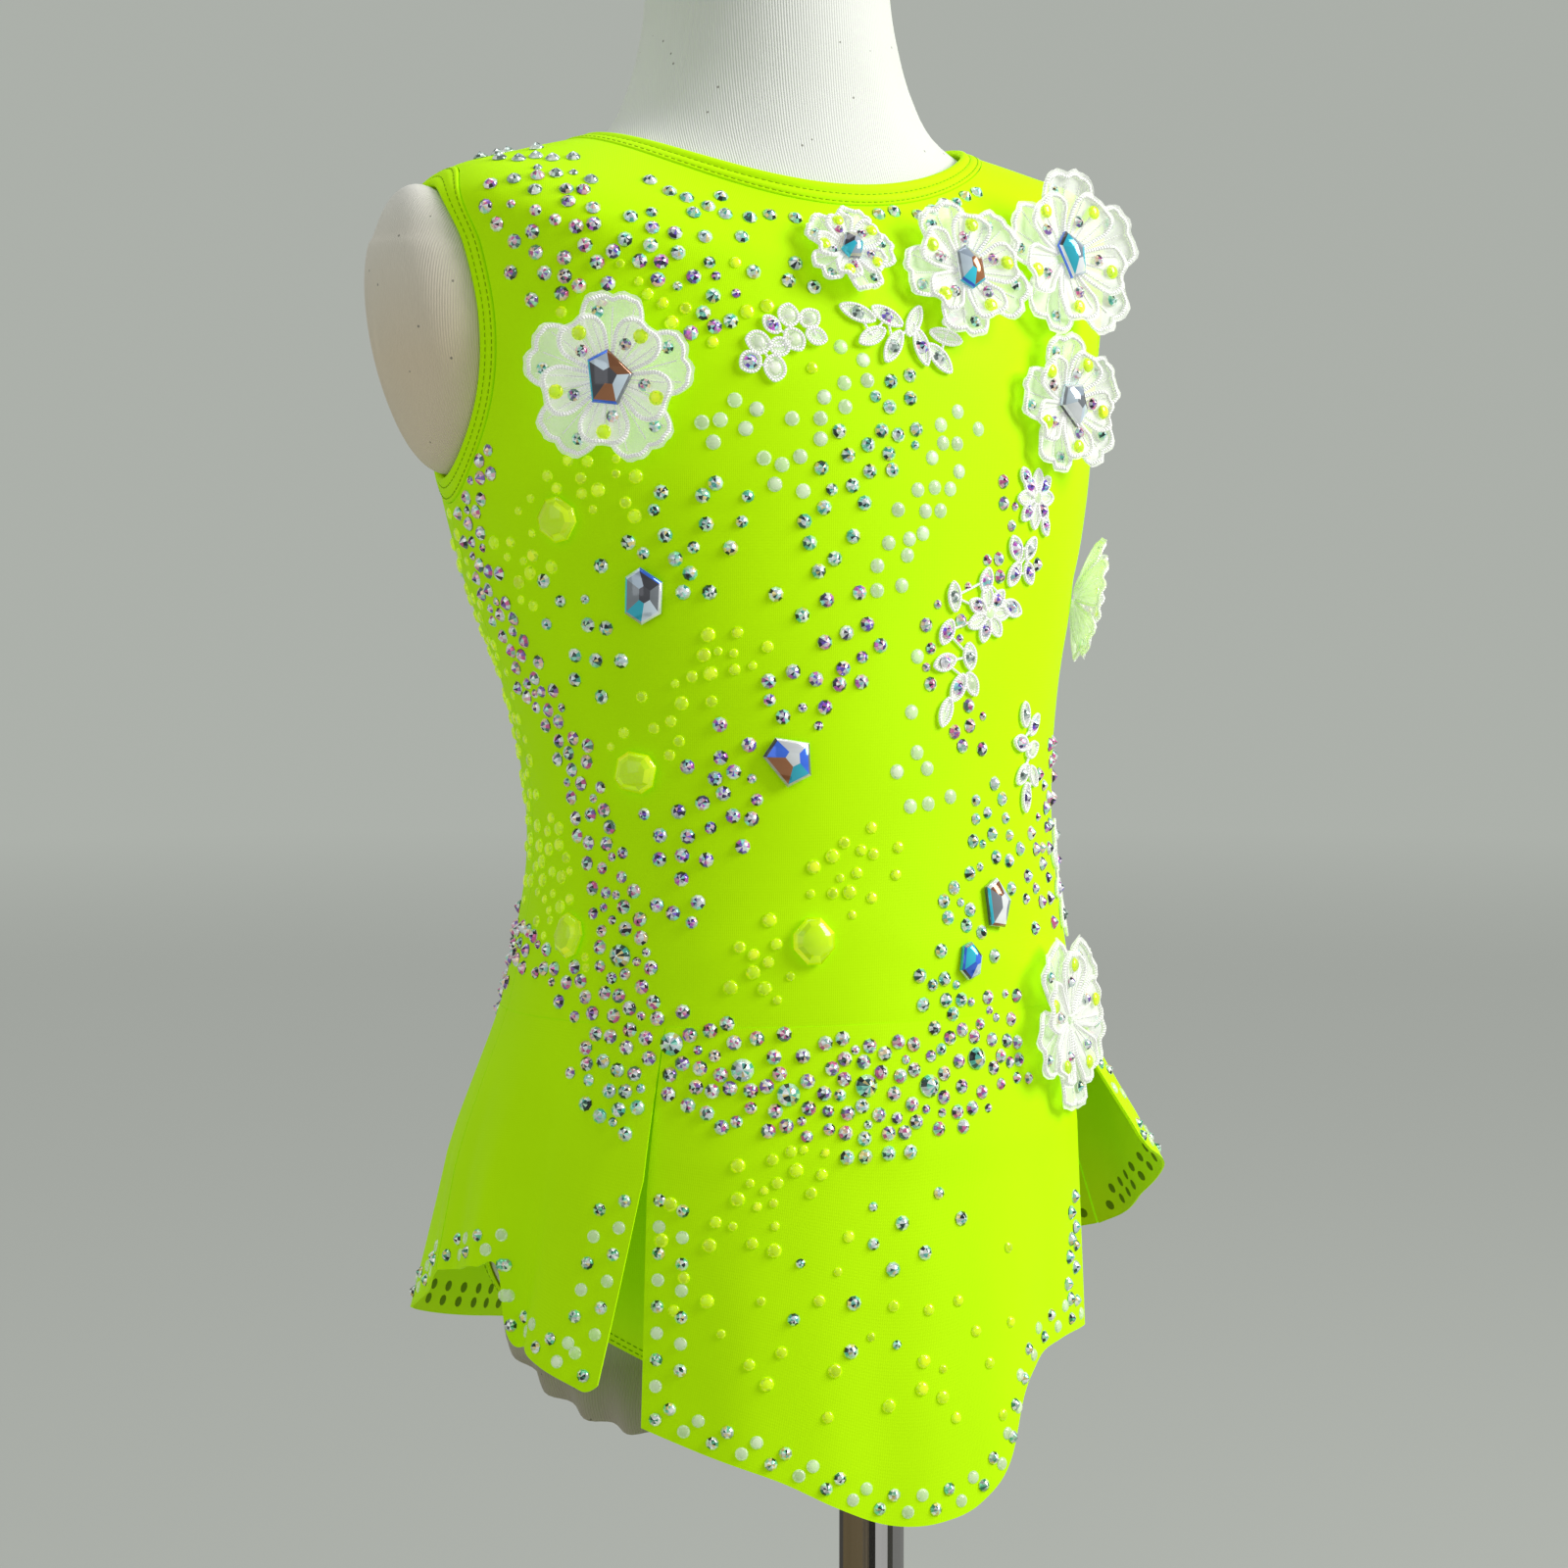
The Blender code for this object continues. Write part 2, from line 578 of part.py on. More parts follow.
# Lace sprays: angle, level, half length, half width, tilt, leaves
SPRAYS = {
    "lace_neck_right": (-16.7, 0.6000, 0.0170, 0.0110, 0.6, 5),
    "lace_neck_left": (4.3, 0.6050, 0.0235, 0.0110, -0.2, 6),
    "lace_left_breast": (32.0, 0.5408, 0.0125, 0.0110, 0.9, 5),
    "lace_left_rib": (29.1, 0.5217, 0.0095, 0.0080, 0.3, 4),
    "lace_left_belly": (18.0, 0.4920, 0.0270, 0.0140, 1.0, 7),
    "lace_left_waist": (37.5, 0.4590, 0.0160, 0.0090, 1.4, 5),
    "lace_left_flank": (62.0, 0.4170, 0.0180, 0.0100, 1.3, 6),
}
SPRAY_WALL = 0.0012
SPRAY_SEAT = 0.0006
SPRAY_MIDDLE = 0.5
LEAF_DEPTH = 0.22


def spray(name, row, finish, points=28):
    """A corded leaf spray: a flat plate whose edge swings in and out once for each leaf."""
    angle, level, half_long, half_wide, tilt, leaves = row
    turn = np.linspace(0, 2 * np.pi, points, endpoint=False)[None, :]
    share = np.array([SPRAY_MIDDLE, 1.0])[:, None]
    lobes = 1 - LEAF_DEPTH + LEAF_DEPTH * np.cos(turn * leaves)
    along = half_long * share * lobes * np.cos(turn)
    beside = half_wide * share * lobes * np.sin(turn)
    across = along * np.cos(tilt) - beside * np.sin(tilt)
    up = along * np.sin(tilt) + beside * np.cos(tilt)
    top = patch(angle, level, across, up, SPRAY_SEAT + SPRAY_WALL)
    under = patch(angle, level, across, up, SPRAY_SEAT)
    rings = np.concatenate([under, top[::-1]])
    foot = patch(angle, level, 0.0, 0.0, SPRAY_SEAT)
    crown = patch(angle, level, 0.0, 0.0, SPRAY_SEAT + SPRAY_WALL)
    return blob(name, rings, foot, crown, finish)


# Fancy crystals on the cloth: angle, level, half width, half height, sides, turn
CRYSTALS = {
    "crystal_ribs": (-45.8, 0.5117, 0.0070, 0.0088, 6, 0.5),
    "crystal_belly": (-23.1, 0.4614, 0.0082, 0.0082, 5, 0.7),
    "crystal_left_waist": (23.3, 0.4142, 0.0064, 0.0082, 5, 0.1),
    "crystal_left_hip": (14.5, 0.3974, 0.0046, 0.0060, 6, 0.3),
    "neon_crystal_chest": (-60.0, 0.5348, 0.0066, 0.0072, 8, 0.2),
    "neon_crystal_waist": (-55.8, 0.4575, 0.0072, 0.0068, 8, 0.6),
    "neon_crystal_belly": (-19.1, 0.4062, 0.0068, 0.0076, 8, 0.0),
    "neon_crystal_hip": (-74.1, 0.4060, 0.0058, 0.0072, 8, 0.4),
}
# Fancy crystals in the flowers: half width, half height, sides, turn
FLOWER_CRYSTALS = {
    "flower_right_chest": (0.0080, 0.0088, 5, 0.2),
    "flower_neck_middle": (0.0040, 0.0048, 6, 0.1),
    "flower_neck_left": (0.0054, 0.0072, 6, 0.4),
    "flower_left_shoulder": (0.0060, 0.0070, 5, 0.3),
    "flower_left_chest": (0.0060, 0.0078, 5, 0.9),
}
BACK_SHARE = 0.9
BACK_RISE = 0.0004
GIRDLE = 0.0016
TABLE_RISE = 0.0036
TABLE_SHARE = 0.55
# How far a stone's corners shift from even spacing, and the turn from one shift to the next
CORNER_SHIFT = 0.18
CORNER_TURN = 2.4


def flower_seat(row, half_size):
    """Height over the cloth of a crystal's flat back, on the cupped inner layer as far out as it reaches."""
    radius, lift, seat_height = row[2], row[3], row[5]
    inner = INNER_LAYER - LAYER_STEP
    narrowest = radius * inner * (1 - SCALLOP * inner)
    cup = lift * inner**CUP_POWER * half_size / narrowest
    return seat_height + FLOWER_WALL + LAYER_RAISE + cup + ON_CLOTH


def crystal(name, row, seat_height, finish):
    """A faceted stone: flat back, upright girdle, sloping crown and flat table."""
    angle, level, half_wide, half_high, sides, turned_by = row
    corner = np.arange(sides)
    turn = turned_by + 2 * np.pi * (corner + CORNER_SHIFT * np.sin(CORNER_TURN * corner)) / sides
    across, up = half_wide * np.cos(turn)[None, :], half_high * np.sin(turn)[None, :]
    share = np.array([BACK_SHARE, 1.0, 1.0, TABLE_SHARE])[:, None]
    rise = np.array([0.0, BACK_RISE, GIRDLE, TABLE_RISE])[:, None]
    rings = points_at(across * share, up * share, rise)
    made = blob(name, rings, (0, 0, 0), (0, 0, TABLE_RISE), finish, 10.0)
    made.matrix_world = seat(angle, level, seat_height)
    return made


def build():
    """Makes every sub-part."""
    clear_scene()
    lime = material("lime_stretch_jersey", (0.46, 1.0, 0.0), 0.55)
    white_jersey = material("white_form_jersey", (0.77, 0.79, 0.76), 0.8)
    organza = material("white_organza", (0.86, 0.88, 0.84), 0.5)
    clear = material("iridescent_crystal", (0.62, 0.66, 0.78), 0.08, 0.6)
    neon = material("neon_crystal", (0.62, 0.95, 0.02), 0.15)
    chrome = material("chromed_steel", (0.62, 0.62, 0.62), 0.12, 1.0)

    cylinder("base_plate", BASE_RADIUS, 0.0, BASE_THICKNESS, chrome, bevel=BASE_BEVEL)
    hub_foot = BASE_THICKNESS + SEAM_GAP
    cylinder("pole_hub", HUB_RADIUS, hub_foot, HUB_HEIGHT, chrome)
    pole_foot = hub_foot + HUB_HEIGHT + SEAM_GAP
    cylinder("pole", POLE_RADIUS, pole_foot, POLE_TOP - pole_foot, chrome, POLE_SIDES)
    cylinder("pole_flange", FLANGE_RADIUS, POLE_TOP + SEAM_GAP, FLANGE_HEIGHT, chrome, POLE_SIDES)
    form_body(white_jersey)

    panel("leotard_front", front_edge, 0.0, 17, lime)
    panel("leotard_back", back_edge, 180.0, 17, lime)
    gusset(lime)
    neck_binding(lime)
    armhole_binding("armhole_binding_right", -1, lime)
    armhole_binding("armhole_binding_left", 1, lime)

    petal("skirt_front", PETALS["skirt_front"], 25, 9, lime)
    petal("skirt_right", PETALS["skirt_right"], 15, 8, lime, (None, SLIT_RIGHT_TOP))
    petal("skirt_left", PETALS["skirt_left"], 12, 7, lime, (SLIT_LEFT_TOP, None))
    petal("skirt_back", PETALS["skirt_back"], 31, 7, lime)

    for name, row in FLOWERS.items():
        flower(name, row, organza)
    for name, row in SPRAYS.items():
        spray(name, row, organza)
    for name, row in CRYSTALS.items():
        crystal(name, row, ON_CLOTH, neon if name.startswith("neon") else clear)
    for name, row in FLOWER_CRYSTALS.items():
        place = FLOWERS[name]
        crystal("crystal_" + name, place[:2] + row, flower_seat(place, max(row[:2])), clear)


build()
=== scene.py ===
"""A neon rhythmic gymnastics leotard with a petal skirt, on a limbless dress form with its stand.

Laid out as an add-on: each operator makes one piece, or one group of like pieces, round the fixed frame.
Metres, +Z up, the wearer's front faces -Y and the wearer's left is +X. Angles are degrees round the form from
the front towards the wearer's left. A level is a height on the side seam; above the armholes it runs over the
shoulders to the neck.
"""

import bmesh
import bpy
import numpy as np
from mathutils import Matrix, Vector


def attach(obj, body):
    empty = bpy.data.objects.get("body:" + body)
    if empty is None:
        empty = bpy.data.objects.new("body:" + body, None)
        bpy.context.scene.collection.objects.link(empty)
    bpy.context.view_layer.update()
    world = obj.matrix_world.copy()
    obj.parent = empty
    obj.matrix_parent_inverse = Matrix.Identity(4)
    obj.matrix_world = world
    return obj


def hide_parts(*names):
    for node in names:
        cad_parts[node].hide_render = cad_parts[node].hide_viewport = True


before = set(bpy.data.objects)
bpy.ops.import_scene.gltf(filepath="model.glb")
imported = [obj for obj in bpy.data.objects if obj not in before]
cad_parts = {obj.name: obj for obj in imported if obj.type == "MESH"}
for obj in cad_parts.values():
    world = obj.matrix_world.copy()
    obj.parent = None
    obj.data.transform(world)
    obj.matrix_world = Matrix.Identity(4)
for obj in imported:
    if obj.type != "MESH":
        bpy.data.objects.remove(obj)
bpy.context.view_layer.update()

bl_info = {
    "name": "Gymnastics leotard",
    "version": (1, 0, 0),
    "blender": (4, 5, 0),
    "location": "3D View > Sidebar > Leotard",
    "description": "Makes a child's rhythmic gymnastics leotard on its dress form",
    "category": "Object",
}

# Cloth and clearances
SEAM_GAP = 0.0003
CLOTH = 0.0009
UNDER_CLOTH = 0.0027

# The form's neck axis; the pole, beside it; and the boss under the form that takes the pole's flange
AXIS_X = -0.042
AXIS_Y = -0.004
POLE_X = 0.0
POLE_Y = 0.0
BOSS_RADIUS = 0.0125
BOSS_FOOT = 0.2326
BOSS_TOP = 0.265

# The cloth's outer surface: one row for each level, with heights and half sizes from the neck axis
BODY_COLUMNS = ("level", "side_z", "front_z", "back_z", "half_width", "fore", "aft")
# Up to the chest each row lies level
LEVEL_RINGS = (
    (0.2400, 0.004, 0.004, 0.004), (0.2410, 0.017, 0.019, 0.017), (0.2440, 0.034, 0.042, 0.036),
    (0.2510, 0.049, 0.060, 0.050), (0.2610, 0.067, 0.073, 0.061), (0.2720, 0.083, 0.081, 0.068),
    (0.2830, 0.094, 0.086, 0.072), (0.2950, 0.101, 0.089, 0.074), (0.3100, 0.103, 0.091, 0.074),
    (0.3300, 0.102, 0.092, 0.072), (0.3710, 0.099, 0.093, 0.063), (0.3960, 0.094, 0.092, 0.058),
    (0.4290, 0.089, 0.089, 0.054), (0.4800, 0.094, 0.086, 0.062), (0.5130, 0.104, 0.084, 0.073),
    (0.5480, 0.112, 0.083, 0.080),
)
BODY_RINGS = np.array(
    [
        *((level, level, level, level, *sizes) for level, *sizes in LEVEL_RINGS),
        (0.5750, 0.5740, 0.5700, 0.5710, 0.115, 0.081, 0.081),
        (0.6000, 0.5985, 0.5890, 0.5920, 0.118, 0.078, 0.079),
        (0.6220, 0.6210, 0.6040, 0.6110, 0.120, 0.074, 0.074),
        (0.6400, 0.6385, 0.6150, 0.6230, 0.119, 0.070, 0.068),
        (0.6500, 0.6455, 0.6200, 0.6290, 0.109, 0.067, 0.064),
        (0.6600, 0.6495, 0.6250, 0.6350, 0.094, 0.064, 0.060),
        (0.6680, 0.6525, 0.6290, 0.6395, 0.082, 0.061, 0.056),
        (0.6760, 0.6548, 0.6327, 0.6430, 0.0715, 0.0588, 0.0515),
        (0.6840, 0.6565, 0.6395, 0.6500, 0.064, 0.0562, 0.0485),
        (0.6900, 0.6620, 0.6500, 0.6580, 0.0565, 0.0515, 0.046),
        (0.7000, 0.6740, 0.6670, 0.6720, 0.0495, 0.047, 0.044),
        (0.7120, 0.6900, 0.6880, 0.6890, 0.0445, 0.044, 0.0425),
        (0.7260, 0.7060, 0.7060, 0.7060, 0.0422, 0.0422, 0.0422),
        (0.7450, 0.7280, 0.7280, 0.7280, 0.0415, 0.0415, 0.0415),
    ]
)
NECK_SEAM = 0.676
NECK_EDGE = 0.684
GUSSET_LEVEL = 0.2425
# The underside is nearly flat, so this small step of level leaves the seam's gap there
GUSSET_GAP_LEVEL = 0.00007
LEG_TOP = 0.306
GUSSET_LEVELS = (0.24005, 0.2402, 0.2412)
FORM_FOOT = 0.2407
FORM_TOP = 0.7445

# Side seams and armholes, as angles in degrees and levels
SIDE_SEAM = 97.0
SHOULDER_SEAM = 90.0
ARMHOLE_LEVEL = 0.594
ARMHOLE_HALF_HEIGHT = 0.046
ARMHOLE_FRONT = 21.0
ARMHOLE_BACK = 17.0
ARMHOLE_BAND = 0.008
ARMHOLE_BAND_ANGLE = 3.8
ARMHOLE_GAP_ANGLE = 0.3

# Small steps of angle and level that give the surface's directions
TURN_STEP = 1e-4
CLIMB_STEP = 1e-5
# Radii that turn a seam's gap into an angle: a share of the half width, and the hips' own
SEAM_RADIUS_SHARE = 0.75
HIP_RADIUS = 0.083

# The leg opening's edge: level, angle from the front, angle from the back
LEG_LINE = np.array(
    [
        (0.2425, 58.0, 58.0), (0.2440, 44.0, 46.0), (0.2470, 38.0, 44.0), (0.2510, 38.0, 46.0),
        (0.2560, 43.0, 54.0), (0.2610, 48.0, 61.0), (0.2670, 54.0, 67.0), (0.2740, 60.0, 72.0),
        (0.2830, 69.0, 77.0), (0.2920, 79.0, 80.0), (0.3010, 90.0, 82.0), (0.3060, 97.0, 83.0),
    ]
)

# The skirt: each petal has rows of angle, hem height and flare
SKIRT_TOP = 0.380
HIP_LEVEL = 0.330
SLIT_RIGHT_TOP = 0.0465
SLIT_LEFT_TOP = 0.0
SLIT_SPREAD = 92.0
PETALS = {
    "skirt_front": (
        (-47.0, 0.258, 0.070), (-38.0, 0.252, 0.075), (-23.0, 0.2415, 0.085), (-15.0, 0.2335, 0.090),
        (-7.0, 0.227, 0.090), (2.0, 0.226, 0.090), (9.6, 0.2305, 0.085), (16.5, 0.2435, 0.080),
        (20.0, 0.2577, 0.075), (26.0, 0.268, 0.065), (35.0, 0.2725, 0.050), (48.0, 0.273, 0.040),
    ),
    "skirt_right": (
        (-97.0, 0.297, 0.180), (-87.0, 0.300, 0.170), (-79.0, 0.303, 0.140), (-74.6, 0.301, 0.130),
        (-72.6, 0.286, 0.130), (-66.0, 0.280, 0.140), (-56.0, 0.274, 0.145), (-47.0, 0.268, 0.150),
    ),
    "skirt_left": (
        (48.0, 0.331, 0.450), (56.0, 0.325, 0.450), (66.0, 0.316, 0.420), (76.0, 0.306, 0.380),
        (86.0, 0.298, 0.350), (97.0, 0.290, 0.330),
    ),
    "skirt_back": (
        (97.0, 0.290, 0.330), (112.0, 0.282, 0.260), (130.0, 0.272, 0.210), (150.0, 0.262, 0.190),
        (165.0, 0.256, 0.160), (180.0, 0.254, 0.180), (195.0, 0.256, 0.160), (210.0, 0.262, 0.190),
        (232.0, 0.272, 0.190), (250.0, 0.284, 0.185), (263.0, 0.297, 0.180),
    ),
}
# Rows and columns of each petal's grid
PETAL_GRIDS = {"skirt_front": (73, 161), "skirt_right": (61, 97), "skirt_left": (49, 81), "skirt_back": (61, 241)}
SKIRT_EASE = 0.012
SKIRT_LIFT = 0.0021
SKIRT_LIFT_DROP = 0.04
# The skirt's cloth at its seam: its thickness, how far below the seam it is full, and what the leotard sinks by
SEAM_CLOTH = 0.00015
SEAM_FADE = 0.012
UNDER_SKIRT_GAP = 0.0002
CORNER_ROUNDING = 0.004
CORNER_ANGLE = 3.0
OPEN_EDGES = {"skirt_right": (None, SLIT_RIGHT_TOP), "skirt_left": (SLIT_LEFT_TOP, None)}
# Ripples of the petals: middle angle, width and depth of each
FOLDS = {
    "skirt_front": ((-30, 6, 0.0012), (-8, 7, -0.0014), (14, 7, 0.0016), (30, 6, -0.0014)),
    "skirt_right": ((-57, 5, 0.0020), (-69, 3.5, -0.0052), (-80, 4.5, 0.0042), (-91, 4, -0.0028)),
    "skirt_left": ((60, 6, 0.0015), (76, 6, -0.0025), (90, 5, 0.0020)),
    "skirt_back": (
        (108, 7, -0.0030), (124, 7, 0.0035), (143, 8, -0.0035), (160, 7, 0.0030), (180, 8, -0.0030),
        (200, 7, 0.0035), (219, 8, -0.0035), (238, 7, 0.0035), (254, 5, -0.0020),
    ),
}
# Creases of the worn leotard: angle, level, half length, half width, tilt and depth of each
CREASES = (
    (-70, 0.523, 0.030, 0.0060, -0.5, -0.0008),
    (-78, 0.509, 0.026, 0.0050, -0.5, 0.0007),
    (70, 0.520, 0.026, 0.0060, 0.5, -0.0008),
    (-30, 0.404, 0.040, 0.0070, 0.25, 0.0006),
    (-60, 0.395, 0.030, 0.0060, 0.45, -0.0006),
    (20, 0.398, 0.040, 0.0070, -0.2, 0.0006),
    (-62, 0.640, 0.026, 0.0060, 1.0, -0.0006),
    (58, 0.640, 0.026, 0.0060, -1.0, -0.0006),
    (0, 0.600, 0.035, 0.0080, 0.0, -0.0006),
    (150, 0.450, 0.040, 0.0080, 0.3, 0.0007),
    (205, 0.430, 0.040, 0.0080, -0.3, 0.0007),
    (180, 0.600, 0.045, 0.0090, 0.1, -0.0006),
)
METRES_PER_DEGREE = 0.0016
CREASE_FADE = (0.640, 0.655)


def smooth(at, known, values):
    """A cubic curve through the known values; at each of them its slope is the mean of its neighbours'."""
    slope = np.gradient(values, known)
    index = np.clip(np.searchsorted(known, at) - 1, 0, len(known) - 2)
    step = known[index + 1] - known[index]
    u = (at - known[index]) / step
    rise = (2 * u**3 - 3 * u**2 + 1) * values[index] + (3 * u**2 - 2 * u**3) * values[index + 1]
    bend = (u**3 - 2 * u**2 + u) * slope[index] + (u**3 - u**2) * slope[index + 1]
    return rise + bend * step


def ease(value, low, high):
    """0 below low, 1 above high, and between them a smooth step: three squares of the share less two cubes."""
    share = np.clip((value - low) / (high - low), 0, 1)
    return share * share * (3 - 2 * share)


def ring(level):
    """The row of BODY_RINGS at a level, by column name."""
    return {
        name: smooth(level, BODY_RINGS[:, 0], BODY_RINGS[:, column])
        for column, name in enumerate(BODY_COLUMNS)
    }


def skin(angle, level):
    """The cloth's outer surface: an ellipse at each level, whose height runs from side to front or back."""
    angle, level = np.broadcast_arrays(np.radians(angle), level)
    row = ring(level)
    centre = (row["aft"] - row["fore"]) / 2
    along = centre - (row["fore"] + row["aft"]) / 2 * np.cos(angle)
    sideways = np.sin(angle) ** 2
    end_z = np.where(np.cos(angle) > 0, row["front_z"], row["back_z"])
    height = row["side_z"] * sideways + end_z * (1 - sideways)
    return np.stack([AXIS_X + row["half_width"] * np.sin(angle), AXIS_Y + along, height], axis=-1)


def petal_edges(name, drop):
    """The angles of a petal's two edges at a drop below the seam; an open edge swings away from its slit."""
    table = np.array(PETALS[name])
    edges = []
    for end, slit_top in zip((0, -1), OPEN_EDGES.get(name, (None, None))):
        inward = 1 if end == 0 else -1
        gap = inward * np.degrees(SEAM_GAP / 2 / HIP_RADIUS)
        spread = 0.0 if slit_top is None else inward * SLIT_SPREAD * np.clip(drop - slit_top, 0, None)
        edges.append(table[end, 0] + gap + spread)
    return edges


def petal_fall(name, at_hem):
    """The full drop of a petal's hem, and its flare, at an angle measured along its hem."""
    table = np.array(PETALS[name])
    fall = SKIRT_TOP - smooth(at_hem, table[:, 0], table[:, 1])
    return fall, smooth(at_hem, table[:, 0], table[:, 2])


def petal_share(name, angle, drop):
    """How far across its petal a place is, from 0 to 1, and that place's angle along the hem."""
    first, last = petal_edges(name, drop)
    share = np.clip((angle - first) / (last - first), 0, 1)
    ends = PETALS[name][0][0], PETALS[name][-1][0]
    return share, ends[0] + (ends[1] - ends[0]) * share


def skirt_skin(name, angle, height):
    """A petal's outer surface: the hips' ellipse, widened by its flare and by folds that grow to the hem."""
    angle, height = np.broadcast_arrays(angle, height)
    drop = SKIRT_TOP - height
    _, at_hem = petal_share(name, angle, drop)
    full, flare = petal_fall(name, at_hem)

    def soft(length):
        return np.sqrt(length**2 + SKIRT_EASE**2) - SKIRT_EASE

    folds = sum(depth * np.exp(-(((at_hem - middle) / width) ** 2)) for middle, width, depth in FOLDS[name])
    lift = SKIRT_LIFT * np.clip(drop / SKIRT_LIFT_DROP, 0, 1)
    grown = (np.clip(drop, 0, None) / full) ** 1.5
    widen = SEAM_CLOTH + lift + flare * full * soft(drop) / soft(full) + folds * grown
    row = ring(np.maximum(height, HIP_LEVEL))
    centre = (row["aft"] - row["fore"]) / 2
    turn = np.radians(angle)
    across = (row["half_width"] + widen) * np.sin(turn)
    along = centre - ((row["fore"] + row["aft"]) / 2 + widen) * np.cos(turn)
    return np.stack([AXIS_X + across, AXIS_Y + along, height], axis=-1)


def frames(surface, angle, level):
    """Points of a surface, their unit directions sideways, up and outwards, and metres per degree and level."""
    here = surface(angle, level)
    sideways = (surface(angle + TURN_STEP, level) - surface(angle - TURN_STEP, level)) / (2 * TURN_STEP)
    upwards = (surface(angle, level + CLIMB_STEP) - surface(angle, level - CLIMB_STEP)) / (2 * CLIMB_STEP)
    out_way = np.cross(sideways, upwards)
    out_way /= np.linalg.norm(out_way, axis=-1, keepdims=True)
    per_degree = np.linalg.norm(sideways, axis=-1)
    side_way = sideways / per_degree[..., None]
    up_way = np.cross(out_way, side_way)
    return here, side_way, up_way, out_way, per_degree, np.linalg.norm(upwards, axis=-1)


def raised(surface, angle, level, out):
    """Points of a surface moved out along its normal."""
    angle, level, out = np.broadcast_arrays(angle, level, out)
    here, _, _, out_way, _, _ = frames(surface, angle, level)
    return here + out_way * out[..., None]


def creases(angle, level):
    """Soft ridges and troughs of the worn leotard: a long bell across and along each line of CREASES."""
    angle = (angle + 90) % 360 - 90
    total = np.zeros(np.broadcast(angle, level).shape)
    for middle, at_level, run, width, tilt, depth in CREASES:
        across = (angle - middle) * METRES_PER_DEGREE
        up = level - at_level
        along = across * np.cos(tilt) + up * np.sin(tilt)
        beside = up * np.cos(tilt) - across * np.sin(tilt)
        total = total + depth * np.exp(-((along / run) ** 2) - (beside / width) ** 2)
    return total


def bodice(angle, level):
    """The leotard's outer surface with its creases; below the skirt's seam it sinks under the skirt's cloth."""
    angle, level = np.broadcast_arrays(angle, level)
    fade = 1 - ease(level, *CREASE_FADE)
    sink = -(CLOTH + UNDER_SKIRT_GAP) * ease(SKIRT_TOP - level, 0.0, SEAM_FADE)
    return raised(skin, angle, level, creases(angle, level) * fade + sink)


def dressed(angle, level):
    """The outermost cloth: the leotard above the skirt's seam, and the petal at that angle below it."""
    angle, level = np.broadcast_arrays(np.asarray(angle, float), np.asarray(level, float))
    made = bodice(angle, level)
    for name, table in PETALS.items():
        turn = angle % 360 if name == "skirt_back" else (angle + 180) % 360 - 180
        here = (level < SKIRT_TOP) & (turn >= table[0][0]) & (turn < table[-1][0])
        if here.any():
            made[here] = skirt_skin(name, turn[here], level[here])
    return made


def turned_share(level):
    """0 outside the armhole's levels and rising to 1 half-way up them, along a quarter ellipse."""
    band = ARMHOLE_HALF_HEIGHT + ARMHOLE_BAND + SEAM_GAP
    return np.sqrt(np.clip(1 - ((level - ARMHOLE_LEVEL) / band) ** 2, 0, None))


def seam_angle(level):
    """The line from the side seam, up through the armhole, to the shoulder seam, in degrees."""
    share = np.clip((level - ARMHOLE_LEVEL + ARMHOLE_HALF_HEIGHT) / (2 * ARMHOLE_HALF_HEIGHT), 0, 1)
    return SIDE_SEAM + (SHOULDER_SEAM - SIDE_SEAM) * share


def panel_edge(level, back):
    """The angle of a panel's edge from its middle: leg line, side seam, armhole, shoulder seam."""
    reach, column = (ARMHOLE_BACK, 2) if back else (ARMHOLE_FRONT, 1)
    seam = 180 - seam_angle(level) if back else seam_angle(level)
    edge = seam - turned_share(level) * (reach + ARMHOLE_BAND_ANGLE + ARMHOLE_GAP_ANGLE)
    leg = smooth(np.clip(level, LEG_LINE[0, 0], LEG_TOP), LEG_LINE[:, 0], LEG_LINE[:, column])
    gap = np.degrees(SEAM_GAP / 2 / (ring(level)["half_width"] * SEAM_RADIUS_SHARE))
    return np.where(level < LEG_TOP, leg, edge) - gap


def armhole_loop(side, widen, turn):
    """Angles and levels round an armhole, widened by a share of the band; side is -1 for right and 1 for left."""
    level = ARMHOLE_LEVEL - (ARMHOLE_HALF_HEIGHT + widen * ARMHOLE_BAND) * np.cos(turn)
    reach = np.where(np.sin(turn) > 0, ARMHOLE_FRONT, ARMHOLE_BACK) + widen * ARMHOLE_BAND_ANGLE
    return side * (seam_angle(level) - reach * np.sin(turn)), level


def grid_faces(rows, columns, start=0, flip=False, closed=False):
    """Quads of a grid of points, closed round its columns or open."""
    row = np.arange(rows - 1)[:, None]
    column = np.arange(columns if closed else columns - 1)[None, :]
    a = start + row * columns + column
    b = start + row * columns + (column + 1) % columns
    c, d = b + columns, a + columns
    order = (a, d, c, b) if flip else (a, b, c, d)
    return np.stack([np.broadcast_to(x, a.shape) for x in order], axis=-1).reshape(-1, 4)


def strip_faces(first, second, closed=False):
    """Quads between two rows of point numbers."""
    if closed:
        first, second = np.append(first, first[0]), np.append(second, second[0])
    return np.stack([first[:-1], second[:-1], second[1:], first[1:]], axis=-1)


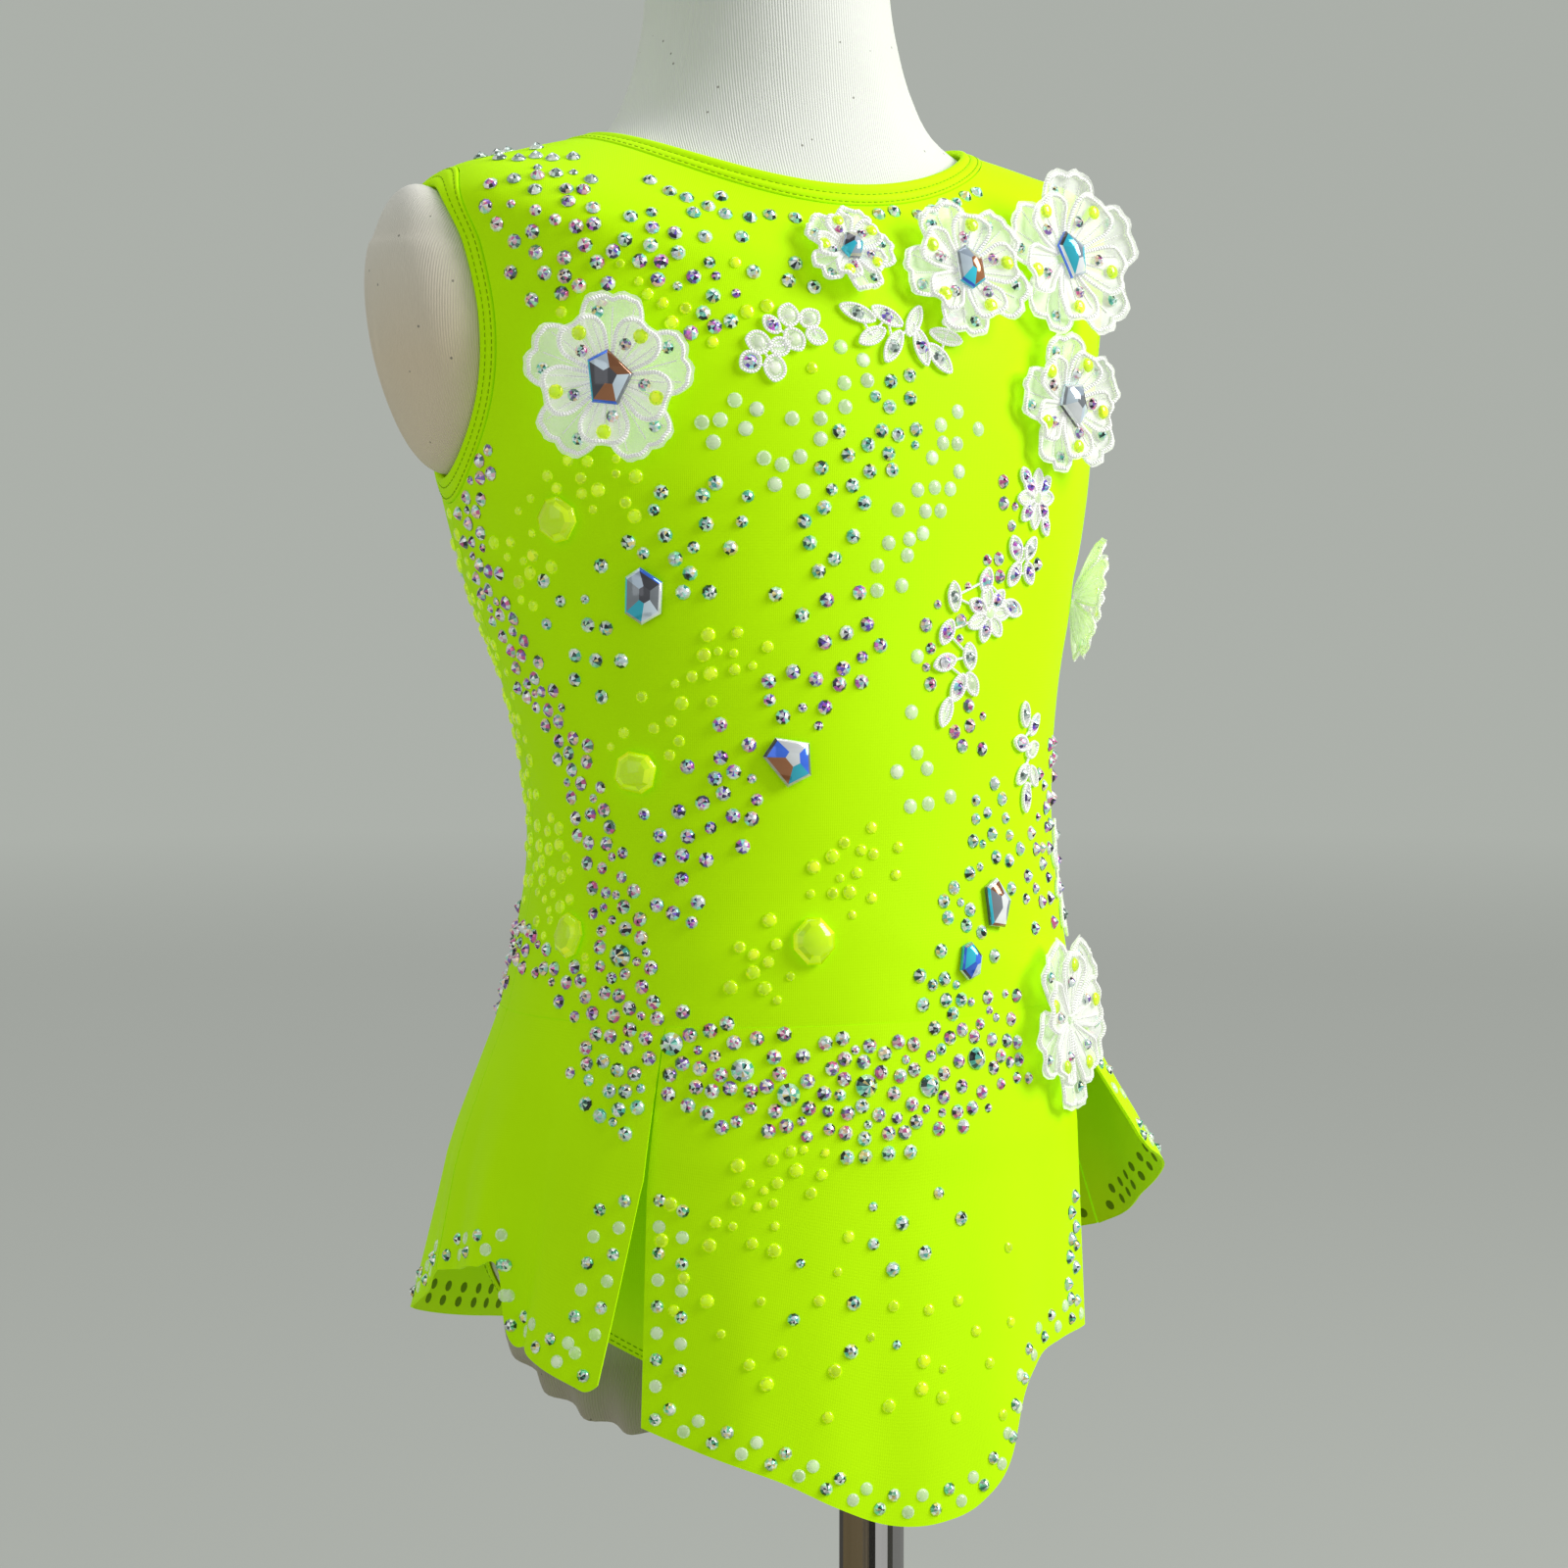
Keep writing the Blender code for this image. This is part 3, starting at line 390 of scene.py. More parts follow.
def put_mesh(name, points, faces, finish, uv=None, colours=None, sharp_angle=50.0, weld=False):
    """An object that rides on the form. faces is a list of arrays, each of polygons with one number of corners;
    uv has a row for each point, and colours a row for each face. Welding joins a seam's two equal columns."""
    corners = np.concatenate([part.ravel() for part in faces]).astype(np.int32)
    sizes = np.concatenate([np.full(len(part), part.shape[1]) for part in faces]).astype(np.int32)
    mesh = bpy.data.meshes.new(name)
    points = np.asarray(points, np.float32).reshape(-1, 3)
    mesh.vertices.add(len(points))
    mesh.vertices.foreach_set("co", points.ravel())
    mesh.loops.add(len(corners))
    mesh.loops.foreach_set("vertex_index", corners)
    mesh.polygons.add(len(sizes))
    starts = np.concatenate([[0], np.cumsum(sizes)[:-1]]).astype(np.int32)
    mesh.polygons.foreach_set("loop_start", starts)
    mesh.update(calc_edges=True)
    if mesh.validate():
        raise RuntimeError(f"{name} has faces that Blender had to mend")
    mesh.materials.append(finish)
    if uv is not None:
        layer = mesh.uv_layers.new(name="cloth")
        layer.data.foreach_set("uv", np.asarray(uv, np.float32).reshape(-1, 2)[corners].ravel())
    if colours is not None:
        layer = mesh.color_attributes.new(name="tint", type="FLOAT_COLOR", domain="CORNER")
        shades = np.concatenate([np.asarray(colours, np.float32), np.ones((len(sizes), 1), np.float32)], axis=1)
        layer.data.foreach_set("color", np.repeat(shades, sizes, axis=0).ravel())
    if weld:
        joined = bmesh.new()
        joined.from_mesh(mesh)
        bmesh.ops.remove_doubles(joined, verts=joined.verts, dist=1e-6)
        joined.to_mesh(mesh)
        joined.free()
    if sharp_angle > 0:
        mesh.shade_smooth()
        mesh.set_sharp_from_angle(angle=np.radians(sharp_angle))
    piece = linked(name, mesh)
    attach(piece, "root")
    return piece


def surface_area(grid):
    """The area of a grid of points, from the two diagonals of each quad."""
    first = grid[1:, 1:] - grid[:-1, :-1]
    second = grid[1:, :-1] - grid[:-1, 1:]
    return float(np.linalg.norm(np.cross(first, second), axis=-1).sum() / 2)


def grid_uv(grid):
    """Lengths in metres over a grid: u along each row from its middle, v up the columns."""
    across = np.linalg.norm(np.diff(grid, axis=1), axis=-1)
    u = np.concatenate([np.zeros((len(grid), 1)), np.cumsum(across, axis=1)], axis=1)
    u = u - u.mean(axis=1, keepdims=True)
    up = np.linalg.norm(np.diff(grid, axis=0), axis=-1).mean(axis=1)
    v = np.concatenate([[0.0], np.cumsum(up)])[:, None] + 0 * u
    return np.stack([u, v], axis=-1)


def shell(outer, inner, closed=False):
    """Points, faces, uv and tints of cloth between two grids: rows run upwards, columns to the wearer's left.
    The tint is 1 on the outer face and the edges, and 0 on the inner face."""
    rows, columns = outer.shape[:2]
    count = rows * columns
    number = np.arange(count).reshape(rows, columns)
    faces = [
        grid_faces(rows, columns, 0, False, closed),
        grid_faces(rows, columns, count, True, closed),
        strip_faces(number[0], number[0] + count, closed),
        strip_faces(number[-1], number[-1] + count, closed)[:, ::-1],
    ]
    if not closed:
        faces.append(strip_faces(number[:, 0], number[:, 0] + count)[:, ::-1])
        faces.append(strip_faces(number[:, -1], number[:, -1] + count))
    points = np.concatenate([outer.reshape(-1, 3), inner.reshape(-1, 3)])
    uv = grid_uv(outer).reshape(-1, 2)
    tints = np.concatenate([np.full((len(part), 3), 0.0 if k == 1 else 1.0) for k, part in enumerate(faces)])
    return points, faces, np.concatenate([uv, uv]), tints


def capped(grid, low, high, uv, uv_ends):
    """Points, faces and uv of a closed shape from a grid that runs round: its first and last rows are fanned to
    the points low and high. Its last column repeats the first, so it is made with weld."""
    rows, columns = grid.shape[:2]
    number = np.arange(rows * columns).reshape(rows, columns)
    count = number.size
    faces = [
        grid_faces(rows, columns),
        np.stack([number[0, 1:], number[0, :-1], np.full(columns - 1, count)], axis=-1),
        np.stack([number[-1, :-1], number[-1, 1:], np.full(columns - 1, count + 1)], axis=-1),
    ]
    return np.concatenate([grid.reshape(-1, 3), [low, high]]), faces, np.concatenate([uv.reshape(-1, 2), uv_ends])


def declare_cloth(grid):
    """Works out the longest row and column of a piece of cloth's outer grid and its area; nothing is done with them.
    """
    width = float(np.linalg.norm(np.diff(grid, axis=1), axis=-1).sum(axis=1).max())
    length = float(np.linalg.norm(np.diff(grid, axis=0), axis=-1).sum(axis=0).max())
    area = surface_area(grid)
    if area > width * length:
        length = area / width * 1.0005


def tubes(paths, normals, radius, sides=6):
    """Round cords along paths (cord, point, xyz): each ring is the radius times the cosine of a turn sideways
    and its sine outwards, half as wide at the two ends."""
    count, length = paths.shape[:2]
    along = np.gradient(paths, axis=1)
    along /= np.linalg.norm(along, axis=-1, keepdims=True)
    side_way = np.cross(along, normals)
    side_way /= np.linalg.norm(side_way, axis=-1, keepdims=True)
    out_way = np.cross(side_way, along)
    turn = np.linspace(0, 2 * np.pi, sides, endpoint=False)[None, None, :, None]
    reach = np.broadcast_to(np.asarray(radius, float), (count, length)).copy()
    reach[:, [0, -1]] *= 0.5
    circle = np.cos(turn) * side_way[:, :, None] + np.sin(turn) * out_way[:, :, None]
    rings = paths[:, :, None] + reach[..., None, None] * circle
    steps = np.linalg.norm(np.diff(paths, axis=1), axis=-1)
    run = np.concatenate([np.zeros((count, 1)), np.cumsum(steps, axis=1)], axis=1)
    u = np.broadcast_to(run[:, :, None], (count, length, sides))
    v = np.broadcast_to(np.linspace(0, 1, sides)[None, None, :], u.shape)
    per_cord = length * sides
    first = per_cord * np.arange(count)[:, None]
    quads = (grid_faces(length, sides, 0, True, True)[None] + first[:, :, None]).reshape(-1, 4)
    starts = first + np.arange(sides)[None, :]
    ends = first + per_cord - sides + np.arange(sides)[None, ::-1]
    return rings.reshape(-1, 3), [quads, starts, ends], np.stack([u, v], -1).reshape(-1, 2)


def gather(parts):
    """Several sets of points, faces and uv as one set."""
    starts = np.cumsum([0, *[len(part[0]) for part in parts]])
    faces = [array + start for part, start in zip(parts, starts) for array in part[1]]
    return np.concatenate([part[0] for part in parts]), faces, np.concatenate([part[2] for part in parts])


def placed(points, faces, here, side_way, up_way, out_way, size):
    """A small shape set at many places: its x runs sideways, y up and z outwards, times each place's size."""
    size = np.broadcast_to(size, here.shape[:1])[:, None, None]
    axes = np.stack([side_way, up_way, out_way], axis=1)
    made = here[:, None] + np.einsum("kj,njx->nkx", points, axes) * size
    offset = len(points) * np.arange(len(here))[:, None, None]
    return made.reshape(-1, 3), [(array[None] + offset).reshape(-1, array.shape[1]) for array in faces]


# Flowers: angle, level, radius, lift of the rim, turn of the petals, height of the seat, turn to the front
FLOWERS = {
    "flower_right_chest": (-45.9, 0.5810, 0.0265, 0.0040, 0.3, 0.0004, 0.0),
    "flower_neck_middle": (-4.6, 0.6420, 0.0155, 0.0030, 0.0, 0.0005, 0.0),
    "flower_neck_left": (15.0, 0.6320, 0.0228, 0.0045, 0.6, 0.0010, 8.0),
    "flower_left_shoulder": (38.0, 0.6320, 0.0278, 0.0070, 0.1, 0.0022, 13.0),
    "flower_left_chest": (37.8, 0.5750, 0.0228, 0.0050, 0.4, 0.0020, 14.0),
    "flower_left_side": (72.0, 0.5090, 0.0215, 0.0060, 0.2, 0.0004, 0.0),
    "flower_left_hip": (43.0, 0.3740, 0.0290, 0.0030, 0.9, 0.0015, 0.0),
}
PETAL_COUNT = 5
# Layers of a flower: share of the radius, extra turn, height, share of the lift, and scallops of the rim
FLOWER_LAYERS = ((1.0, 0.0, 0.0008, 1.0, 0.030), (0.80, 0.63, 0.0030, 0.8, 0.0))
PETAL_HALF_ANGLE = np.radians(35.0)
ORGANZA_WALL = 0.00022
LEAF_WALL = 0.0002
THICK_CORD = 0.00070
THIN_CORD = 0.00022
# The lace's cords: radius and height over the cloth round a loop, inside it, and from loop to loop
LOOP_CORD = (0.00052, 0.0010)
INNER_CORD = (0.00030, 0.0006)
JOINING_CORD = (0.00042, 0.0007)

# Lace sprays: angle, level, half width, and the loops in millimetres across and up from there: across, up,
# heading in degrees, half length, half width as a share of it, and the stone inside. A ring has its number of
# loops, less than MOST_IN_RING, in place of the heading, and they stand round its middle
MOST_IN_RING = 10
RING_RADIUS_SHARE = 1.45
RING_STONE = 0.0024
SPRAYS = {
    "lace_neck_right": (
        (-16.7, 0.6000, 0.0110), (-11.5, -7.5, 210, 3.6, 0.80, "violet"), (-3.9, -9.0, 260, 3.8, 0.85, "opal"),
        (-8.2, -1.6, 170, 3.8, 0.85, "opal"), (-1.5, -2.5, 20, 3.2, 0.80, None),
        (3.4, 0.0, 300, 3.6, 0.85, "opal"), (-3.2, 4.2, 130, 3.0, 0.75, "violet"),
        (2.6, 7.6, 80, 3.6, 0.85, "opal"), (9.2, 7.0, 40, 3.5, 0.80, "opal"), (10.6, 1.4, 340, 3.2, 0.80, None),
    ),
    "lace_neck_left": (
        (4.3, 0.6050, 0.0110), (-17.5, 5.8, 160, 6.0, 0.42, "silver"), (-13.5, -1.5, 205, 5.0, 0.45, None),
        (-7.4, 5.0, 150, 5.6, 0.42, "violet"), (-6.4, -4.5, 235, 5.6, 0.42, "silver"),
        (2.0, 3.5, 60, 5.4, 0.40, None), (3.9, -4.5, 285, 5.8, 0.42, "violet"),
        (10.5, -8.0, 315, 5.8, 0.42, "silver"), (13.5, -1.5, 345, 6.2, 0.36, None),
        (17.5, 4.5, 20, 5.0, 0.42, "violet"),
    ),
    "lace_left_breast": (
        (32.0, 0.5408, 0.0110), (0.0, 0.5, 8, 3.9, 0.58, "opal"), (-6.5, 7.6, 120, 3.2, 0.60, "violet"),
        (6.5, -8.0, 300, 3.4, 0.55, "violet"),
    ),
    "lace_left_rib": (
        (29.1, 0.5217, 0.0080), (-3.6, 4.0, 120, 4.2, 0.60, "violet"), (4.0, 3.8, 60, 4.0, 0.60, "silver"),
        (-3.4, -4.2, 240, 4.2, 0.60, "violet"), (4.4, -4.0, 300, 3.9, 0.60, "violet"),
    ),
    "lace_left_belly": (
        (18.0, 0.4920, 0.0140), (-12.0, -17.0, 250, 4.6, 0.48, None), (-7.0, -9.5, 240, 4.6, 0.55, "violet"),
        (-1.2, -8.5, 300, 4.0, 0.58, "opal"), (-12.5, -1.5, 195, 4.2, 0.58, "violet"),
        (-2.5, 0.2, 280, 4.2, 0.58, "silver"), (-12.0, 8.0, 245, 4.0, 0.58, "violet"),
        (4.8, 13.5, 7, 3.7, 0.58, "opal"), (-9.5, 19.0, 95, 4.6, 0.45, "silver"),
        (2.8, 24.0, 80, 3.8, 0.60, "violet"), (15.5, 15.0, 340, 4.8, 0.50, "violet"),
    ),
    "lace_left_waist": (
        (37.5, 0.4590, 0.0090), (-3.0, 14.0, 100, 4.0, 0.55, "silver"), (3.5, 10.5, 50, 4.0, 0.55, "violet"),
        (-4.5, 5.0, 165, 4.2, 0.55, "violet"), (3.0, 2.5, 20, 4.0, 0.58, "opal"),
        (-3.0, -5.0, 220, 4.2, 0.55, "silver"), (4.5, -6.0, 310, 4.0, 0.55, None),
        (-0.5, -12.5, 265, 4.6, 0.50, "violet"),
    ),
    "lace_left_flank": (
        (62.0, 0.4170, 0.0100), (1.0, 15.0, 85, 5.0, 0.52, "silver"), (-5.5, 8.0, 150, 5.0, 0.52, None),
        (6.5, 6.0, 30, 5.0, 0.52, "violet"), (-5.5, -2.0, 200, 5.0, 0.52, "violet"),
        (5.5, -4.5, 330, 5.0, 0.52, None), (-4.0, -11.0, 230, 5.0, 0.52, "silver"),
        (3.0, -14.0, 280, 5.0, 0.52, None),
    ),
}

# Fancy crystals on the cloth: angle, level, half width, half height, sides, turn
CRYSTALS = {
    "crystal_ribs": (-45.8, 0.5117, 0.0070, 0.0088, 6, 0.5),
    "crystal_belly": (-23.1, 0.4614, 0.0082, 0.0082, 5, 0.7),
    "crystal_left_waist": (23.3, 0.4142, 0.0064, 0.0082, 5, 0.1),
    "crystal_left_hip": (14.5, 0.3974, 0.0046, 0.0060, 6, 0.3),
    "neon_crystal_chest": (-60.0, 0.5348, 0.0066, 0.0072, 8, 0.2),
    "neon_crystal_waist": (-55.8, 0.4575, 0.0072, 0.0068, 8, 0.6),
    "neon_crystal_belly": (-19.1, 0.4062, 0.0068, 0.0076, 8, 0.0),
    "neon_crystal_hip": (-74.1, 0.4060, 0.0058, 0.0072, 8, 0.4),
}
# Fancy crystals in the flowers: half width, half height, sides, turn
FLOWER_CRYSTALS = {
    "flower_right_chest": (0.0080, 0.0088, 5, 0.2),
    "flower_neck_middle": (0.0040, 0.0048, 6, 0.1),
    "flower_neck_left": (0.0054, 0.0072, 6, 0.4),
    "flower_left_shoulder": (0.0058, 0.0080, 5, 0.3),
    "flower_left_chest": (0.0060, 0.0078, 5, 0.9),
}
CRYSTAL_SEAT = 0.0004
FLOWER_CRYSTAL_SEAT = 0.0042
CORNER_SHIFT = 0.18
CORNER_TURN = 2.4

# Drifts of flat-backed stones: look, count, spread in metres, and the line they follow in angles and levels
DRIFTS = (
    ("silver", 15, 0.0050, ((-88, 0.6600), (-74, 0.6599), (-56.5, 0.6508))),
    ("rose", 25, 0.0085, ((-62, 0.6470), (-54, 0.6287), (-55, 0.6118))),
    ("sea", 21, 0.0095, ((-52, 0.6551), (-33, 0.6468), (-21.8, 0.6179), (-10.8, 0.6209))),
    ("neon", 12, 0.0110, ((-54, 0.6250), (-34, 0.6180), (-16, 0.6120))),
    ("violet", 13, 0.0080, ((-50.8, 0.6196), (-33.8, 0.6257), (-25.5, 0.6048))),
    ("sea", 13, 0.0020, ((-40.2, 0.6639), (-26, 0.6591), (-14, 0.6576), (13.2, 0.6692), (43.5, 0.6700))),
    ("rose", 115, 0.0042, (
        (-78.2, 0.5580), (-88.5, 0.5409), (-87.5, 0.5241), (-85, 0.5105), (-84.5, 0.4891), (-78.2, 0.4740),
        (-72.5, 0.4562), (-67.5, 0.4353), (-63, 0.4175), (-59.5, 0.4011), (-54, 0.3850), (-46.2, 0.3760),
    )),
    ("rose", 95, 0.0080, (
        (-46.2, 0.3736), (-38.1, 0.3695), (-31.2, 0.3673), (-22.7, 0.3597), (-14.6, 0.3629), (-8.6, 0.3614),
        (3.7, 0.3600), (14.6, 0.3669), (27.2, 0.3740),
    )),
    ("sea", 24, 0.0040, ((-18.1, 0.3556), (-9.6, 0.3460), (-0.3, 0.3478), (5.8, 0.3561))),
    ("rose", 24, 0.0035, ((-102.5, 0.4026), (-80, 0.3948), (-66, 0.3870), (-53.1, 0.3800))),
    ("sea", 28, 0.0080, ((-28, 0.5374), (-36, 0.5301), (-46.5, 0.5118), (-59.5, 0.5019), (-75, 0.4864))),
    ("violet", 44, 0.0075, (
        (-8, 0.5019), (-14.8, 0.4871), (-23.5, 0.4708), (-35.5, 0.4499), (-45.5, 0.4361), (-56.8, 0.4177),
    )),
    ("sea", 27, 0.0058, (
        (5, 0.5862), (-0.8, 0.5686), (-5.2, 0.5502), (-10.8, 0.5374), (-16, 0.5228), (-16.8, 0.5140),
    )),
    ("rose", 24, 0.0050, ((27.2, 0.5439), (30.2, 0.5253), (10.8, 0.5014), (16.2, 0.4708))),
    ("sea", 34, 0.0066, ((27.2, 0.4424), (21.2, 0.4212), (14, 0.3976), (6.1, 0.3800))),
    ("rose", 28, 0.0066, ((61.3, 0.4612), (49.2, 0.4338), (40.8, 0.4097))),
    ("opal", 14, 0.0040, ((-4.2, 0.5917), (-13.2, 0.5643), (-20.2, 0.5482))),
    ("opal", 20, 0.0040, ((14.3, 0.5651), (7.3, 0.5437), (-1.2, 0.5153))),
    ("opal", 6, 0.0030, ((-21.2, 0.5807), (-28.2, 0.5673), (-31.8, 0.5583))),
    ("opal", 8, 0.0040, ((5.5, 0.4954), (10, 0.4529), (2.8, 0.4501))),
    ("neon", 26, 0.0060, ((-45, 0.5482), (-57, 0.5407), (-68.8, 0.5258), (-81.5, 0.5135))),
    ("neon", 20, 0.0050, ((-28.5, 0.4992), (-37.8, 0.4841), (-55.2, 0.4630), (-58.8, 0.4537))),
    ("neon", 25, 0.0060, ((-6.5, 0.4325), (-15, 0.4149), (-24.5, 0.3976), (-34.5, 0.3858))),
    ("neon", 20, 0.0060, ((-18.1, 0.3467), (-26.2, 0.3324), (-31.2, 0.3206))),
    ("neon", 25, 0.0060, ((-86.8, 0.4338), (-84, 0.4127), (-69.8, 0.3928))),
    ("neon", 60, 0.0080, ((-96.8, 0.5256), (-108, 0.4828), (-96.5, 0.4358), (-91.8, 0.4117))),
    ("sea", 12, 0.0040, ((-57.2, 0.3640), (-52.0, 0.3530))),
    ("rose", 9, 0.0040, ((-63.1, 0.3664), (-58, 0.3759), (-53.8, 0.3702))),
    ("sea", 12, 0.0120, ((-30, 0.3150), (-12, 0.3010), (4, 0.3190))),
    ("neon", 30, 0.0160, ((-30, 0.3000), (-10, 0.2900), (4, 0.2800))),
    ("sea", 9, 0.0020, ((46.4, 0.3219), (42.4, 0.3040), (39.8, 0.2856))),
    # The back isn't seen in the photograph: the band goes on round the hips, with two plain drifts above it
    ("rose", 120, 0.0070, ((97, 0.3850), (130, 0.3800), (180, 0.3760), (230, 0.3800), (257, 0.4000))),
    ("rose", 22, 0.0060, ((62, 0.3720), (78, 0.3800), (97, 0.3850))),
    ("sea", 46, 0.0075, ((245, 0.5300), (222, 0.5000), (200, 0.4600), (190, 0.4200))),
    ("violet", 40, 0.0075, ((120, 0.5600), (140, 0.5100), (158, 0.4700), (165, 0.4300))),
    ("neon", 46, 0.0100, ((150, 0.5900), (185, 0.5400), (212, 0.4400))),
    ("opal", 16, 0.0060, ((170, 0.6200), (190, 0.5900), (205, 0.5600))),
)
ROUND_STONES = (
    (-59.5, 0.4011), (-45.2, 0.3750), (-31.2, 0.3673), (-22.7, 0.3597), (-8.6, 0.3614),
    (3.7, 0.3600), (14.6, 0.3669), (150, 0.3770), (205, 0.3775),
)
BIG_STONE = 0.0071
# Widths of the flat-backed stones, in metres, and how often each is used, by look
STONE_SIZES = (0.0047, 0.0039, 0.0030)
STONE_SHARES = (0.80, 0.14, 0.06)
LOOK_SHARES = {"neon": (0.35, 0.40, 0.25), "opal": (1.0, 0.0, 0.0)}
HEM_STONE = 0.0041
TRIES_PER_STONE = 30
SPREAD_LIMIT = 1.7
OPENEST_OF = 8
# Stones on each flower petal: look, layer, share of its length, place across it and width; all are narrower on a
# flower smaller than SMALL_FLOWER
PETAL_STONES = (("sea", 0, 0.78, 0.40, 0.0039), ("neon", 1, 0.80, 0.0, 0.0047), ("rose", 1, 0.55, 0.35, 0.0039))
SMALL_FLOWER = 0.019
# The coated stones' points over their backs, as a share of the radius, and the sides of the round ones
POINT_HEIGHT = 0.84
ROUND_SIDES = 13
GLUE_RADIUS = 0.0019
GLUE_GAP = 0.00003
STONE_GAP = 0.0003
STITCH_PITCH = 0.0022
HEM_PITCH = 0.0095
HEM_ROWS = (0.0045, 0.0095)
SLIT_ROWS = (0.0040, 0.0110)

# Tints of the stones' facets, as sRGB hex values: painted reflections for the coated stones and fancy crystals, with
# white glints and dark facets; the glass's own colour for neon and opal
TINTS = {
    "rose": "2C2A33 F6F9FC E9B8CA D765A2 A9E0CC 5F7F78 F4D6B4 8E6ABF DCE6E8 F2F5F8",
    "sea": "1C2A2A F4FAFA 9BE6D2 5FBFB0 CFE8EE E8D690 3A6058 BFE8C0 F0F6F8 C8D2D8",
    "violet": "2A2440 F5EEFC CF63D6 7E5AE0 9BE3E6 D8E0E6 4C3A7A F0B8CC F2F4FA B8C0CC",
    "hem": "1C2A22 F4FAF2 74D9A8 BCEBC2 E8D488 3F8A68 E0E8E4 F2F6F0 A8B4B0",
    "silver": "9AACA5 BFD2CA DCEAE4 7B8C86 F0F6F3 A9C0B8 5F6E69 FAFCFB",
    "fancy": "3F74F0 38C8E4 9A6440 8A9098 D4E4F2 4A4A52 C4C4B0 9AA8B8 F2F6FA",
    "neon": "D8F800 CCF000 E4FF20 D0F400",
    "opal": "E6F4D4 DDEFC4 EEF8E2 D6EABC",
}


def linear(hex_code):
    """The linear colour of an sRGB hex value."""
    value = np.array([int(hex_code[i : i + 2], 16) for i in (0, 2, 4)]) / 255
    return np.where(value <= 0.04045, value / 12.92, ((value + 0.055) / 1.055) ** 2.4)


def colour(hex_code):
    """The same with an alpha of 1, for a shader's socket."""
    return (*(float(x) for x in linear(hex_code)), 1.0)


def palette(name):
    """The linear tints of a coating, one row each."""
    return np.array([linear(code) for code in TINTS[name].split()])


def seat_of(row, out=0.0):
    """The frame of a seat on the cloth for a row that starts with an angle and a level, moved out. A flower's row
    ends with its turn to the front."""
    here, side_way, up_way, out_way, _, _ = frames(skin, np.float64(row[0]), np.float64(row[1]))
    facing = np.radians(row[6] if len(row) == 7 else 0.0)
    turned = side_way * np.cos(facing) + out_way * np.sin(facing)
    return here + out_way * out, turned, up_way, out_way * np.cos(facing) - side_way * np.sin(facing)


def in_seat(local, seat):
    """Points given sideways, up and outwards from a seat, in the row frame."""
    here, side_way, up_way, out_way = seat
    return here + local[..., :1] * side_way + local[..., 1:2] * up_way + local[..., 2:] * out_way


def petal_point(layer, row, share, across):
    """A flower petal's middle surface, for a share of its length and a place across it from -1 to 1: its edge is
    a wedge with rounded corners and a small notch, and it rises to its rim, crowned and a little ruffled."""
    size, turn, height, rise, scallop = layer
    radius, lift, turned_by, seat = row[2:6]
    rim = (1 - 0.28 * np.abs(across) ** 3.5) * (1 - 0.045 * np.exp(-((across / 0.25) ** 2)))
    rim = rim * (1 + scallop * np.abs(np.sin(2.5 * np.pi * across)))
    reach = radius * size * share * rim
    angle = np.arange(PETAL_COUNT)[:, None, None] * 2 * np.pi / PETAL_COUNT + turned_by + turn
    spread = PETAL_HALF_ANGLE * across * (1 - 0.12 * share)
    crown = 0.0011 * (1 - across**2) * np.sin(np.pi * share)
    ruffle = 0.0007 * np.sin(3 * np.pi * across + angle * 2) * share**3
    up = seat + height + lift * rise * share**2.5 + crown + ruffle
    turn = angle + spread
    return np.stack(np.broadcast_arrays(reach * np.cos(turn), reach * np.sin(turn), up), axis=-1)


def flower_parts(row, seat):
    """The organza petals and the satin cords of one flower, and the area of its petals."""
    share = np.linspace(0.07, 1.0, 12)[:, None]
    across = np.linspace(-1, 1, 17)[None, :]
    organza, cords, threads, area = [], [], [], 0.0
    for layer in FLOWER_LAYERS:
        petals = petal_point(layer, row, share, across)
        for petal in petals:
            top = in_seat(petal[::-1], seat)
            under = in_seat((petal - (0, 0, ORGANZA_WALL))[::-1], seat)
            organza.append(shell(top, under)[:3])
            area += surface_area(top)
        turn = np.linspace(0, 1, 33)
        edge_across = np.interp(turn, (0.0, 0.30, 0.70, 1.0), (-0.92, -0.92, 0.92, 0.92))
        edge_share = np.interp(turn, (0.0, 0.30, 0.34, 0.66, 0.70, 1.0), (0.16, 0.90, 0.935, 0.935, 0.90, 0.16))
        outline = petal_point(layer, row, edge_share[None, :], edge_across[None, :])[:, 0]
        cords.append(outline + (0, 0, 0.0004))
        for place in (-0.55, 0.0, 0.55):
            line = petal_point(layer, row, np.linspace(0.2, 0.86, 33)[None, :], np.full((1, 33), place))[:, 0]
            threads.append(line + (0, 0, 0.00012))
    out_way = seat[3]
    thick = tubes(in_seat(np.concatenate(cords), seat), out_way, THICK_CORD)
    thin = tubes(in_seat(np.concatenate(threads), seat), out_way, THIN_CORD, 5)
    return organza, [thick, thin], area


def spray_loops(parts):
    """A spray's loops in metres: middles, headings, half lengths and half widths, with each one's stone."""
    rows, stones = [], []
    for across, up, heading, half, share, stone in parts:
        count = heading if heading < MOST_IN_RING else 1
        turn = np.atleast_1d(np.radians(heading) if count == 1 else np.arange(count) * 2 * np.pi / count)
        away = 0.0 if count == 1 else half * RING_RADIUS_SHARE
        sizes = [np.full(count, half), np.full(count, half * share)]
        rows.append(np.stack([across + away * np.cos(turn), up + away * np.sin(turn), *sizes, turn], axis=-1))
        stones += [stone] if count == 1 else ["violet" if k % 2 else None for k in range(count)]
    rows = np.concatenate(rows)
    heading = np.stack([np.cos(rows[:, 4]), np.sin(rows[:, 4])], axis=-1)
    return rows[:, :2] * 0.001, heading, rows[:, 2] * 0.001, rows[:, 3] * 0.001, stones


